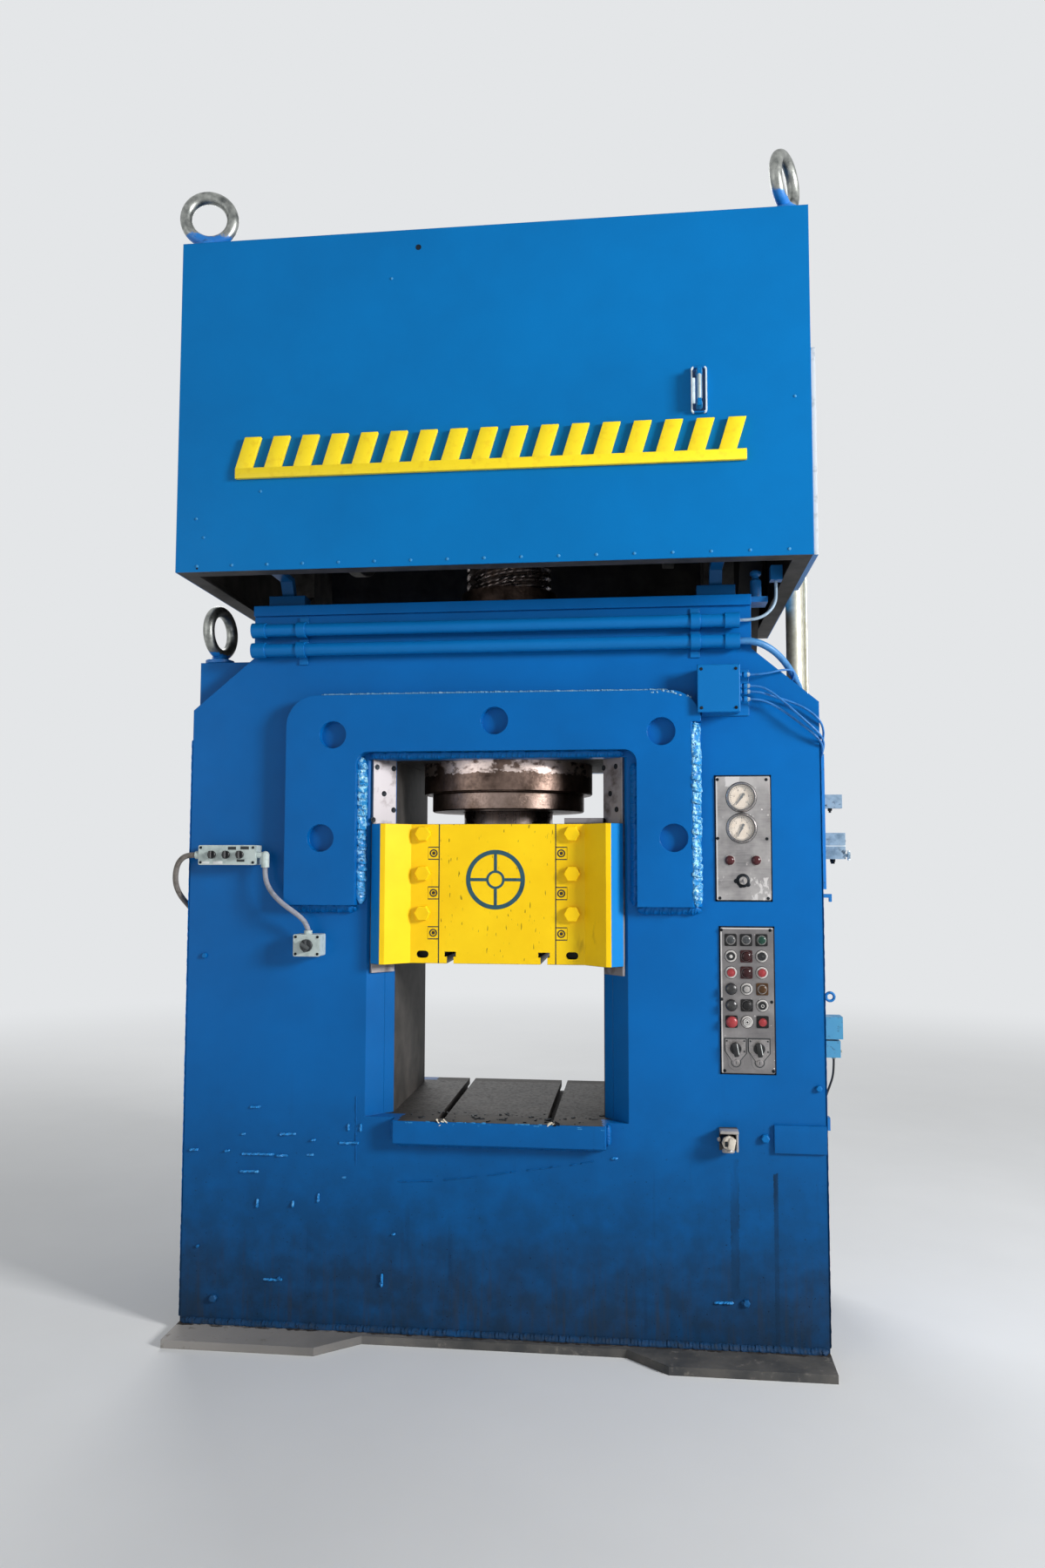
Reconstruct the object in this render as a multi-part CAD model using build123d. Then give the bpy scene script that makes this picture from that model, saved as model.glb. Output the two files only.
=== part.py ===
# Friction screw press in millimetres. +Z is up, -Y is the operator's side and the
# origin lies on the floor under the axis of the screw.
from build123d import *
import math
import os

os.makedirs("parts", exist_ok=True)

# Frame weldment
frame_width = 2040.0
frame_depth = 650.0
plate_thickness = 50.0
column_wall = 40.0
shoulder_height = 2000.0
shoulder_angle = 40.0
neck_width = 1628.0
frame_height = 2345.0
window_width = 840.0
window_sill = 686.0
window_top = 1830.0
splay_reach = 78.0
crown_bar_height = 34.0
crown_bar_proud = 12.0

# Base plate and feet
base_thickness = 25.0
foot_reach = 140.0
foot_length = 485.0
foot_slant_length = 124.0
base_middle_reach = 42.0

# Sill bar, reinforcing yoke and cover plate on the front
sill_bar_length = 672.0
sill_bar_height = 73.0
sill_bar_thickness = 45.0
sill_bar_offset = 15.0
yoke_thickness = 50.0
yoke_left = 684.0
yoke_right = 652.0
yoke_top = 2037.0
yoke_foot = 1358.0
yoke_inner_width = 900.0
yoke_inner_top = 1851.0
yoke_outer_radius = 100.0
yoke_inner_radius = 39.0
yoke_edge_bevel = 30.0
plug_diameter = 88.0
plug_depth = 28.0
plug_upper_spacing = 1056.0
plug_upper_height = 1907.0
plug_middle_height = 1947.0
plug_lower_spacing = 1130.0
plug_lower_height = 1573.0
cover_width = 157.0
cover_height = 84.0
cover_thickness = 10.0
cover_middle_height = 654.0

# Shoulder block with its lifting eye
shoulder_block_height = 169.0
shoulder_block_depth = 150.0

# Guides and ram
rail_thickness = 12.0
rail_width = 88.0
rail_foot = 1140.0
slide_clearance = 0.4
wall_clearance = 12.0
ram_foot = 1170.0
ram_height = 450.0
ram_setback = 29.0
wing_thickness = 64.0
wing_proud = 41.0
wing_land = 16.0
cheek_thickness = 81.0
cheek_inner_width = 380.0
cheek_joint = 1.0
ram_bolt_flats = 46.0
ram_bolt_head = 19.0
ram_bolt_diameter = 30.0
ram_bolt_hole = 33.0
ram_bolt_spacing = 485.0
ram_bolt_pitch = 128.5
ram_bolt_top_drop = 32.0
ram_bolt_reach = 60.0
lock_width = 36.0
lock_height = 39.0
lock_depth = 30.0
lock_top_drop = 95.0
oval_length = 39.0
oval_width = 23.0
oval_depth = 30.0
oval_height = 29.0

# T-slots in the ram and the table
slot_stem = 22.0
slot_head = 37.0
slot_head_height = 16.0
slot_depth = 38.0
ram_slot_spacing = 304.0
table_slot_spacing = 346.0

# Screw, nut and flywheel
running_clearance = 0.5
seat_clearance = 0.1
journal_diameter = 310.0
thread_diameter = 300.0
journal_top = 1700.0
thrust_socket_depth = 220.0
nut_diameter = 400.0
nut_flange_diameter = 588.0
nut_flange_height = 102.0
nut_counterbore_depth = 32.0
nut_collar_diameter = 340.0
nut_collar_height = 91.0
ring_diameter = 530.0
ring_height = 59.0
ring_chamfer = 4.0
flywheel_rise = 355.0
flywheel_height = 150.0
flywheel_rim_width = 110.0
flywheel_web = 60.0
flywheel_hub_diameter = 420.0
flywheel_seat_diameter = 260.0
flywheel_hole_diameter = 130.0
flywheel_hole_count = 6
lining_thickness = 10.0
screw_nut_diameter = 220.0
screw_nut_rise = 190.0

# Drive shaft with its two friction discs
shaft_rise = 210.0
shaft_diameter = 120.0
disc_diameter = 890.0
disc_thickness = 40.0
disc_gap = 4.0
disc_hub_diameter = 240.0
disc_hub_length = 95.0
disc_rib_count = 6
disc_rib_thickness = 16.0
standard_gap = 41.0
standard_thickness = 100.0
standard_foot_depth = 360.0
standard_foot_height = 40.0
bearing_housing_diameter = 250.0
cylinder_diameter = 210.0
cylinder_length = 150.0
cylinder_wall = 15.0
piston_diameter = 148.0
piston_thickness = 50.0
spigot_diameter = 90.0
spigot_collar = 20.0
pulley_diameter = 400.0
pulley_width = 90.0
pulley_rim = 20.0
pulley_web = 20.0
pulley_hub_diameter = 180.0
pulley_gap = 32.0

# Motor behind the frame and its flat belt
motor_axis_y = 500.0
motor_top_gap = 11.0
motor_shaft_height = 160.0
motor_body_diameter = 290.0
motor_length = 410.0
motor_fin_height = 12.0
motor_fin_thickness = 5.0
motor_fin_count = 28
motor_shield = 30.0
motor_shaft_diameter = 48.0
motor_pulley_diameter = 180.0
motor_gap = 42.0
shelf_thickness = 25.0
shelf_rib = 16.0
belt_width = 80.0
belt_thickness = 8.0
belt_clearance = 0.3

# Casing over the drive
casing_inset = 50.0
casing_side_room = 68.0
casing_depth = 1210.0
casing_rise = 47.0
casing_height = 1060.0
sheet = 6.0
angle_leg = 50.0
angle_thickness = 6.0
strut_width = 40.0
strut_thickness = 16.0
strut_spacing = 1410.0
strut_foot_length = 122.0
strut_foot_depth = 60.0
strut_foot_height = 35.0
hatch_height = 625.0
hatch_depth = 420.0
hatch_thickness = 13.0
handle_width = 47.0
handle_height = 141.0
handle_bar = 12.0
handle_reach = 38.0
handle_plate = 3.0
handle_x = 643.0
handle_rise = 504.0

# Lifting eyes
eye_ring_diameter = 186.0
eye_bar_diameter = 38.0
eye_neck_diameter = 60.0
eye_collar_diameter = 96.0
eye_collar_height = 14.0
eye_inset = 60.0
shoulder_eye_inset = 48.0
shoulder_eye_turn = 80.0

# Air pipes on the crown and the riser behind it
pipe_diameter = 42.0
pipe_left = 810.0
pipe_right = 775.0
pipe_drop = 87.0
pipe_pitch = 66.0
pipe_standoff = 8.0
collar_length = 46.0
collar_diameter = 50.0
clamp_spacing = 1281.0
clamp_middle = -3.0
clamp_width = 30.0
clamp_thickness = 5.0
clamp_foot = 20.0
riser_diameter = 60.3
riser_inset = 10.0
riser_y = 125.0
riser_rise = 358.0
riser_bend = 38.0
riser_flange_diameter = 100.0
riser_flange_height = 14.0
conduit_diameter = 14.0
conduit_offset = 29.0
conduit_foot = 1620.0
conduit_rise = 60.0
conduit_bend = 40.0
conduit_box_height = 56.0
conduit_box_depth = 44.0
conduit_clip_drop = 60.0
conduit_clip_height = 20.0
conduit_clip_depth = 32.0

# Junction box on the right shoulder
junction_x = 706.0
junction_z = 2037.0
junction_width = 132.0
junction_height = 150.0
junction_depth = 62.0
junction_plate_thickness = 6.0
junction_plate_offset = 16.0
junction_inset = 16.0
junction_lid = 8.0
junction_lid_gap = 2.0
gland_diameter = 17.0
gland_length = 34.0

# Gauge panel and button panel
panel_thickness = 6.0
gauge_panel_x = 781.0
gauge_panel_z = 1573.0
gauge_panel_width = 167.0
gauge_panel_height = 386.0
gauge_x = 776.0
gauge_upper_z = 1701.0
gauge_lower_z = 1604.0
gauge_diameter = 88.0
gauge_depth = 16.0
gauge_rim = 5.0
dial_depth = 4.0
lens_thickness = 2.0
pointer_length = 30.0
pointer_tail = 12.0
pointer_thickness = 1.2
pointer_gap = 3.0
pointer_upper_angle = 215.0
pointer_lower_angle = 205.0
lamp_diameter = 24.0
lamp_reach = 22.0
gauge_lamp_spacing = 81.0
gauge_lamp_z = 1503.5
key_x = 778.0
key_z = 1440.5
key_collar_diameter = 34.0
key_collar_height = 5.0
key_barrel_diameter = 24.0
key_barrel_height = 9.0
button_panel_x = 787.7
button_panel_z = 1072.0
button_panel_width = 161.0
button_panel_height = 445.0
button_middle_x = 785.0
button_columns = 47.2
button_rows = 50.1
button_top_z = 1257.0
bezel_square = 36.0
bezel_round = 35.0
bezel_height = 5.0
button_diameter = 24.0
button_hole_clearance = 0.4
button_reach = 8.0
button_travel = 4.0
button_seat = 0.5
mushroom_diameter = 34.0
mushroom_height = 9.0
selector_spacing = 71.6
selector_z = 925.0
selector_plate = 62.0
selector_plate_top = 28.5
selector_plate_shoulder = 14.0
selector_bulb_drop = 43.0
selector_bulb_diameter = 46.0
selector_lock_diameter = 17.0
selector_lock_height = 5.0
selector_plate_thickness = 2.0
knob_diameter = 26.0
knob_base = 8.0
knob_grip_thickness = 9.0
knob_grip_height = 13.0
knob_gap = 0.4

# Switch boxes on the left
switch_box_x = -872.0
switch_box_z = 1518.0
switch_box_width = 192.0
switch_box_height = 64.0
switch_box_depth = 60.0
switch_knob_z = 1519.0
switch_knob_places = (-922.0, -874.0, -828.0)
small_box_x = -601.0
small_box_z = 1230.0
small_box_width = 88.0
small_box_height = 70.0
small_box_depth = 62.0
small_knob_diameter = 40.0
box_lid = 6.0
elbow_diameter = 26.0
elbow_drop = 40.0

# Boxes, switches and cable duct on the right-hand side wall
side_item_y = -175.0
top_switch_z = 1694.0
top_switch_height = 44.0
top_switch_depth = 36.0
top_switch_reach = 88.0
top_plate_height = 75.0
top_plate_depth = 50.0
wall_plate_thickness = 8.0
switch_case_z = 1550.0
switch_case_height = 84.0
switch_case_depth = 80.0
switch_case_reach = 92.0
switch_case_joint = 4.0
switch_case_groove = 3.0
plunger_drop = 30.0
plunger_diameter = 10.0
plunger_cap_diameter = 26.0
plunger_reach = 20.0
limit_switch_z = 944.0
limit_switch_height = 128.0
limit_switch_gap = 6.0
limit_switch_reach = 76.0
limit_switch_depth = 56.0
wall_eye_z = 1068.0
wall_eye_reach = 42.0
wall_eye_diameter = 26.0
wall_eye_bar = 9.0
hook_z = 1390.0
hook_height = 55.0
hook_reach = 52.0
hook_bar = 12.0
hook_depth = 24.0
duct_width = 16.0
duct_depth = 46.0
duct_foot = 1414.0
duct_top = 1837.0
duct_y = -282.0

# Quick coupling and hose block
coupling_x = 724.0
coupling_z = 650.0
coupling_seat_width = 54.0
coupling_seat_height = 68.0
coupling_seat_thickness = 6.0
bowl_x = 836.0
bowl_y = -262.0
bowl_diameter = 36.0
bowl_height = 94.0
bowl_neck_diameter = 22.0
bowl_shelf_reach = 56.0
bowl_shelf_depth = 80.0
bowl_shelf_thickness = 18.0
hose_block_x = 895.0
hose_block_y = -308.0
hose_block_half = 20.0
hose_block_height = 46.0
wall_gland_size = 28.0
wall_gland_height = 40.0
entry_gland_diameter = 34.0
entry_gland_height = 8.0

# Cord diameters
conduit_cord_diameter = 16.0
feed_cord_diameter = 18.0
lower_hose_diameter = 22.0
upper_hose_diameter = 10.0
cable_diameter = 7.0

# Places worked out from the sizes above
half_width = frame_width / 2
half_depth = frame_depth / 2
front = -half_depth
window_half = window_width / 2
wall_x = window_half - splay_reach
inside_y = half_depth - plate_thickness
splay_y = half_depth - splay_reach
plate_inner_x = window_half - plate_thickness
neck_half = neck_width / 2
shoulder_rise = (half_width - neck_half) * math.tan(math.radians(shoulder_angle))
shoulder_top = shoulder_height + shoulder_rise
ram_top = ram_foot + ram_height
ram_front = front + ram_setback
rail_line = window_half - rail_thickness * math.sqrt(2)
ram_line = rail_line - slide_clearance * math.sqrt(2)
wing_line = ram_line - wing_thickness * math.sqrt(2)
ram_half = wall_x - wall_clearance
cheek_back = ram_front + cheek_thickness
cheek_half = cheek_inner_width / 2
casing_foot = frame_height + casing_rise
casing_top = casing_foot + casing_height
casing_half = half_width - casing_inset
casing_front = -casing_depth / 2
pulley_end = casing_half - casing_side_room
pulley_start = pulley_end - pulley_width
standard_outer_x = pulley_start - pulley_gap
standard_inner_x = standard_outer_x - standard_thickness
disc_face_x = standard_inner_x - standard_gap - disc_hub_length
flywheel_diameter = 2 * (disc_face_x - disc_gap)
flywheel_foot = frame_height + flywheel_rise
shaft_height = flywheel_foot + flywheel_height / 2 + shaft_rise
screw_top = flywheel_foot + screw_nut_rise
motor_top = motor_body_diameter / 2 + motor_fin_height / 2
motor_axis_height = casing_foot - motor_top_gap - motor_top
pipe_upper_height = frame_height - pipe_drop
pipe_lower_height = pipe_upper_height - pipe_pitch
riser_x = half_width - riser_inset
riser_top = casing_foot + riser_rise
conduit_x = half_width + conduit_offset
handle_middle_height = casing_foot + handle_rise
yoke_front = front - yoke_thickness
yoke_inner_half = yoke_inner_width / 2


def block(x, y, z):
    """A box between two limits on each axis."""
    size = (x[1] - x[0], y[1] - y[0], z[1] - z[0])
    middle = ((x[0] + x[1]) / 2, (y[0] + y[1]) / 2, (z[0] + z[1]) / 2)
    return Pos(*middle) * Box(*size)


def plan(points, low, high):
    """A prism on an outline seen from above."""
    return Pos(0, 0, low) * extrude(Polygon(*points, align=None), high - low, dir=(0, 0, 1))


def elevation(points, near, far):
    """A prism on an outline seen from the front, from near to far along Y."""
    return Pos(0, near, 0) * extrude(Plane.XZ * Polygon(*points, align=None), far - near, dir=(0, 1, 0))


def side_view(points, low, high):
    """A prism on an outline of Y and Z, from low to high along X."""
    return Pos(low, 0, 0) * extrude(Plane.YZ * Polygon(*points, align=None), high - low, dir=(1, 0, 0))


def turned(points):
    """A body turned about Z from an outline of radius and height."""
    return revolve(Plane.XZ * Polygon(*points, align=None), Axis.Z)


def tube(outer, inner, low, high):
    """An upright tube between two heights, from its two diameters."""
    a, b = outer / 2, inner / 2
    return turned([(b, low), (a, low), (a, high), (b, high)])


def rod(diameter, low, high):
    """An upright cylinder between two heights."""
    return Pos(0, 0, (low + high) / 2) * Cylinder(diameter / 2, high - low)


def along_x(shape, x=0.0, y=0.0, z=0.0):
    """Lays an upright shape along +X and moves it."""
    return Pos(x, y, z) * Rot(0, 90, 0) * shape


def towards_front(shape, x, y, z):
    """Points an upright shape out of a front face and moves it there."""
    return Pos(x, y, z) * Rot(90, 0, 0) * shape


def both_sides(shape):
    """A shape and its mirror image left of the middle."""
    return [shape, mirror(shape, about=Plane.YZ)]


def front_and_rear(shapes):
    """Shapes and their mirror images behind the middle."""
    return shapes + [mirror(shape, about=Plane.XZ) for shape in shapes]


def fused(shapes):
    """One solid, or one group, of all the shapes given."""
    whole = shapes[0]
    for shape in shapes[1:]:
        whole = whole + shape
    return whole


def save(name, *shapes):
    """Writes one node, as one solid or a group of separate solids."""
    solids = [solid for shape in shapes for solid in shape.solids()]
    node = solids[0] if len(solids) == 1 else Compound(children=solids)
    node.label = name
    export_step(node, "parts/" + name + ".step")


def t_slot(x, face, up):
    """Cutter for a T-slot along Y, sunk upwards (1) or downwards (-1) into a face."""
    reach = frame_depth
    floor = face + up * slot_depth
    ceiling = floor - up * slot_head_height
    stem = block((x - slot_stem / 2, x + slot_stem / 2), (-reach, reach), sorted((face - up, ceiling)))
    head = block((x - slot_head / 2, x + slot_head / 2), (-reach, reach), sorted((ceiling, floor)))
    return stem + head


# Base plate
def base_outline_half():
    """The right half of the front edge of the base plate, from the middle outwards."""
    foot_inner = half_width - foot_length
    middle_edge = front - base_middle_reach
    foot_edge = front - foot_reach
    return [(foot_inner - foot_slant_length, middle_edge), (foot_inner, foot_edge), (half_width, foot_edge)]


def make_base_plate():
    right = base_outline_half()
    left = [(-x, y) for x, y in reversed(right)]
    near = left + right
    far = [(x, -y) for x, y in reversed(near)]
    return plan(near + far, 0, base_thickness)


# Frame
def plate_outline():
    right = [
        (half_width, base_thickness),
        (half_width, shoulder_height),
        (neck_half, shoulder_top),
        (neck_half, frame_height),
    ]
    return right + [(-x, z) for x, z in reversed(right)]


def window_cutter():
    """The window with its splayed sides, cut through the front plate."""
    outside = front - plate_thickness
    wide = window_half + plate_thickness
    outline = [
        (-wide, outside), (wide, outside), (plate_inner_x, -inside_y),
        (plate_inner_x, 0), (-plate_inner_x, 0), (-plate_inner_x, -inside_y),
    ]
    return plan(outline, window_sill, window_top)


def make_face_plate():
    plate = elevation(plate_outline(), front, -inside_y)
    return plate - window_cutter()


def make_front_plate():
    bar_front = front - crown_bar_proud
    bar = block((-neck_half, neck_half), (bar_front, front), (frame_height - crown_bar_height, frame_height))
    low = sill_bar_offset - sill_bar_length / 2
    high = sill_bar_offset + sill_bar_length / 2
    sill = block((low, high), (front - sill_bar_thickness, front), (window_sill - sill_bar_height, window_sill))
    sill = chamfer(sill.faces().sort_by(Axis.Y)[0].edges(), 3)
    cover_z = (cover_middle_height - cover_height / 2, cover_middle_height + cover_height / 2)
    cover = block((half_width - cover_width, half_width), (front - cover_thickness, front), cover_z)
    plate = make_face_plate()
    for side in (-1, 1):
        plate = plate - t_slot(side * table_slot_spacing / 2, window_sill, -1)
    return plate + bar + sill + cover


def make_rear_plate():
    plate = mirror(make_face_plate(), about=Plane.XZ)
    for side in (-1, 1):
        plate = plate - t_slot(side * table_slot_spacing / 2, window_sill, -1)
    shelf_top = motor_axis_height - motor_shaft_height
    shelf_end = motor_axis_y + motor_body_diameter / 2 + 40
    motor_end = pulley_start - motor_gap
    shelf_x = (motor_end - motor_length - 30, motor_end + 10)
    shelf = block(shelf_x, (half_depth, shelf_end), (shelf_top - shelf_thickness, shelf_top))
    shapes = [plate, shelf]
    rib_low = shelf_top - shelf_thickness - 200
    for x in (shelf_x[0] + 40, shelf_x[1] - 40 - shelf_rib):
        rib = [(half_depth, rib_low), (half_depth, shelf_top - shelf_thickness), (shelf_end - 40, shelf_top - shelf_thickness)]
        shapes.append(side_view(rib, x, x + shelf_rib))
    return fused(shapes)


def column_outline():
    return [
        (plate_inner_x, -inside_y), (half_width, -inside_y), (half_width, inside_y),
        (plate_inner_x, inside_y), (wall_x, splay_y), (wall_x, -splay_y),
    ]


def make_column():
    outline = Polygon(*column_outline(), align=None)
    hollow = offset(outline, -column_wall, kind=Kind.INTERSECTION)
    tall = extrude(outline, shoulder_height - base_thickness)
    room = extrude(hollow, shoulder_height - base_thickness - plate_thickness)
    return Pos(0, 0, base_thickness) * (tall - room)


def make_shoulder_block():
    x = (-half_width, -neck_half)
    y = (-inside_y, -inside_y + shoulder_block_depth)
    return block(x, y, (shoulder_height, shoulder_height + shoulder_block_height))


def between_columns(low, high):
    """A block that fills the room between the two columns, with its corners on the splays."""
    right = [(plate_inner_x, -inside_y), (wall_x, -splay_y), (wall_x, splay_y), (plate_inner_x, inside_y)]
    left = [(-x, y) for x, y in reversed(right)]
    return plan(right + left, low, high)


def make_crown():
    lower = between_columns(window_top, shoulder_height)
    neck = block((-neck_half, neck_half), (-inside_y, inside_y), (shoulder_height, frame_height))
    bore = rod(nut_diameter + 2 * seat_clearance, window_top - 1, frame_height + 1)
    return lower + neck - bore


def make_bed():
    bed = between_columns(base_thickness, window_sill)
    for side in (-1, 1):
        bed = bed - t_slot(side * table_slot_spacing / 2, window_sill, -1)
    return bed


def make_yoke():
    """The reinforcing plate round the top of the window, with its plug weld holes."""
    outline = [
        (-yoke_left, yoke_foot), (-yoke_left, yoke_top), (yoke_right, yoke_top), (yoke_right, yoke_foot),
        (yoke_inner_half, yoke_foot), (yoke_inner_half, yoke_inner_top),
        (-yoke_inner_half, yoke_inner_top), (-yoke_inner_half, yoke_foot),
    ]
    yoke = elevation(outline, yoke_front, front)
    depth_edges = yoke.edges().filter_by(Axis.Y)
    outer = [e for e in depth_edges if abs(e.center().Z - yoke_top) < 1]
    yoke = fillet(outer, yoke_outer_radius)
    depth_edges = yoke.edges().filter_by(Axis.Y)
    inner = [e for e in depth_edges if abs(e.center().Z - yoke_inner_top) < 1]
    yoke = fillet(inner, yoke_inner_radius)
    bevel = [
        (yoke_right - yoke_edge_bevel, yoke_front - 1), (yoke_right + 1, yoke_front - 1),
        (yoke_right + 1, front - 4), (yoke_right, front - 4), (yoke_right - yoke_edge_bevel, yoke_front),
    ]
    yoke = yoke - plan(bevel, yoke_foot - 1, yoke_top - yoke_outer_radius)
    places = [(0, plug_middle_height)]
    for side in (-1, 1):
        places.append((side * plug_upper_spacing / 2, plug_upper_height))
        places.append((side * plug_lower_spacing / 2, plug_lower_height))
    for x, z in places:
        yoke = yoke - towards_front(rod(plug_diameter, -plug_depth, 1), x, yoke_front, z)
    return yoke


# Guides
def make_rail():
    """The front right guide rail, on the splayed face of the window."""
    length = window_top - rail_foot
    middle = window_half - splay_reach / 2 - rail_thickness / math.sqrt(2) / 2
    y = front + splay_reach / 2 - rail_thickness / math.sqrt(2) / 2
    strip = Box(rail_width, rail_thickness, length)
    strip = chamfer(strip.edges().filter_by(Axis.Z), 1.5)
    return Pos(middle, y, rail_foot + length / 2) * Rot(0, 0, -45) * strip


# Ram
def wing_points():
    """Right front wing: the flat, the 45 degree flank, the land, the tip and the sliding face."""
    land_y = front - wing_proud
    flank_end = wing_line + wing_proud
    tip_step = (ram_line - (flank_end + wing_land) + wing_proud) / 2
    return [
        (wing_line - ram_setback, ram_front),
        (flank_end, land_y),
        (flank_end + wing_land, land_y),
        (flank_end + wing_land + tip_step, land_y + tip_step),
        (ram_half, front + ram_line - ram_half),
    ]


def make_ram_block():
    front_half = [(cheek_half, ram_front), (cheek_half, cheek_back), (ram_half, cheek_back)]
    rear_half = [(x, -y) for x, y in reversed(wing_points())]
    right = front_half + rear_half
    left = [(-x, y) for x, y in reversed(right)]
    ram = plan(right + left, ram_foot, ram_top)
    socket = rod(journal_diameter + 2 * running_clearance, ram_top - thrust_socket_depth, ram_top + 1)
    ram = ram - socket
    for side in (-1, 1):
        ram = ram - t_slot(side * ram_slot_spacing / 2, ram_foot, 1)
    for x, z in ram_bolt_places():
        ram = ram - towards_front(rod(ram_bolt_diameter + 2 * seat_clearance, -ram_bolt_reach, 1), x, cheek_back, z)
    return ram


def ram_bolt_places():
    top = ram_top - ram_bolt_top_drop
    return [(side * ram_bolt_spacing / 2, top - row * ram_bolt_pitch) for side in (-1, 1) for row in range(3)]


def lock_places():
    top = ram_top - lock_top_drop
    return [(side * (cheek_half + lock_width / 2), top - row * ram_bolt_pitch) for side in (-1, 1) for row in range(3)]


def make_cheek():
    """The right cheek with its wing, bolted on the front of the ram."""
    inner = cheek_half + cheek_joint
    outline = [(inner, ram_front)] + wing_points() + [(ram_half, cheek_back), (inner, cheek_back)]
    cheek = plan(outline, ram_foot, ram_top)
    deep = cheek_thickness + 2
    for x, z in ram_bolt_places():
        if x > 0:
            cheek = cheek - towards_front(rod(ram_bolt_hole, -deep, 1), x, ram_front, z)
    for x, z in lock_places():
        if x > 0:
            x_span = (cheek_half - 1, cheek_half + lock_width + 1)
            z_span = (z - lock_height / 2 - 1, z + lock_height / 2 + 1)
            cheek = cheek - block(x_span, (ram_front - 1, ram_front + lock_depth), z_span)
    oval = extrude(SlotOverall(oval_length, oval_width), oval_depth + 1)
    x = ram_bolt_spacing / 2
    cheek = cheek - Pos(x, ram_front + oval_depth, ram_foot + oval_height) * Rot(90, 0, 0) * oval
    return cheek


def make_ram_fasteners():
    shapes = []
    shank_end = cheek_thickness + ram_bolt_reach - 2
    for x, z in ram_bolt_places():
        head = extrude(RegularPolygon(ram_bolt_flats / 2, 6, major_radius=False), ram_bolt_head)
        head = chamfer(head.faces().sort_by(Axis.Z)[-1].edges(), 2)
        bolt = head + rod(ram_bolt_diameter, -shank_end, 0)
        shapes.append(towards_front(bolt, x, ram_front, z))
    for x, z in lock_places():
        y = (ram_front, ram_front + lock_depth)
        x_span = (x - lock_width / 2 + cheek_joint, x + lock_width / 2)
        if x < 0:
            x_span = (x - lock_width / 2, x + lock_width / 2 - cheek_joint)
        lock = block(x_span, y, (z - lock_height / 2, z + lock_height / 2))
        socket = towards_front(rod(12, -8, 1), x, ram_front, z)
        shapes.append(lock - socket)
    return shapes


# Screw and nut
def make_screw():
    journal = journal_diameter / 2
    thread = thread_diameter / 2
    seat = flywheel_seat_diameter / 2
    top = screw_nut_diameter / 2
    foot = ram_top - thrust_socket_depth + running_clearance
    hub_top = flywheel_foot + flywheel_height + 10
    outline = [
        (0, foot), (journal - 10, foot), (journal, foot + 10), (journal, journal_top - 8),
        (journal - 5, journal_top), (thread, journal_top), (thread, flywheel_foot),
        (seat, flywheel_foot), (seat, hub_top), (top, hub_top), (top, screw_top - 6), (top - 6, screw_top), (0, screw_top),
    ]
    return turned(outline)


def make_nut():
    body = nut_diameter / 2
    flange = nut_flange_diameter / 2
    collar = nut_collar_diameter / 2
    bore = thread_diameter / 2 + running_clearance
    wide = journal_diameter / 2 + 5
    foot = window_top - nut_flange_height
    collar_top = frame_height + nut_collar_height
    outline = [
        (wide, foot), (flange, foot), (flange, window_top), (body, window_top), (body, frame_height),
        (collar, frame_height), (collar, collar_top), (bore, collar_top), (bore, foot + nut_counterbore_depth),
        (wide, foot + nut_counterbore_depth),
    ]
    nut = turned(outline)
    return chamfer(nut.edges().group_by(Axis.Z)[0].sort_by(SortBy.RADIUS)[-1], ring_chamfer)


def make_nut_ring():
    outer = ring_diameter / 2
    inner = journal_diameter / 2 + 5
    top = window_top - nut_flange_height
    foot = top - ring_height
    step = ring_chamfer
    return turned([
        (inner, foot), (outer - step, foot), (outer, foot + step), (outer, top - step), (outer - step, top), (inner, top),
    ])


def make_flywheel():
    rim = flywheel_diameter / 2 - lining_thickness
    rim_inner = rim - flywheel_rim_width
    hub = flywheel_hub_diameter / 2
    bore = flywheel_seat_diameter / 2 + seat_clearance
    top = flywheel_foot + flywheel_height
    web_low = flywheel_foot + (flywheel_height - flywheel_web) / 2
    web_high = web_low + flywheel_web
    outline = [
        (bore, flywheel_foot), (hub, flywheel_foot), (hub + 20, web_low), (rim_inner, web_low),
        (rim_inner, flywheel_foot), (rim, flywheel_foot), (rim, top), (rim_inner, top),
        (rim_inner, web_high), (hub + 20, web_high), (hub, top + 10), (bore, top + 10),
    ]
    wheel = turned(outline)
    pitch_radius = (hub + 20 + rim_inner) / 2
    hole = rod(min(flywheel_hole_diameter, (rim_inner - hub) * 0.6), web_low - 1, web_high + 1)
    for place in PolarLocations(pitch_radius, flywheel_hole_count):
        wheel = wheel - place * hole
    return wheel


def make_lining():
    outer = flywheel_diameter
    return tube(outer, outer - 2 * lining_thickness, flywheel_foot, flywheel_foot + flywheel_height)


# Drive shaft
def make_shaft():
    """The shaft with its left spigot for the shift piston, turned along X."""
    full = shaft_diameter / 2
    spigot = spigot_diameter / 2
    piston_start = -standard_outer_x - cylinder_length / 2 - piston_thickness / 2
    piston_end = piston_start + piston_thickness
    nut_end = piston_start - running_clearance - spigot_collar
    end = pulley_end + 4
    outline = [
        (0, nut_end), (full, nut_end), (full, piston_start - running_clearance),
        (spigot, piston_start - running_clearance), (spigot, piston_end + running_clearance),
        (full, piston_end + running_clearance), (full, end - 3), (full - 3, end), (0, end),
    ]
    return along_x(turned(outline), z=shaft_height)


def make_piston():
    start = -standard_outer_x - cylinder_length / 2 - piston_thickness / 2
    ring = tube(piston_diameter, spigot_diameter + 2 * running_clearance, start, start + piston_thickness)
    return along_x(ring, z=shaft_height)


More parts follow.
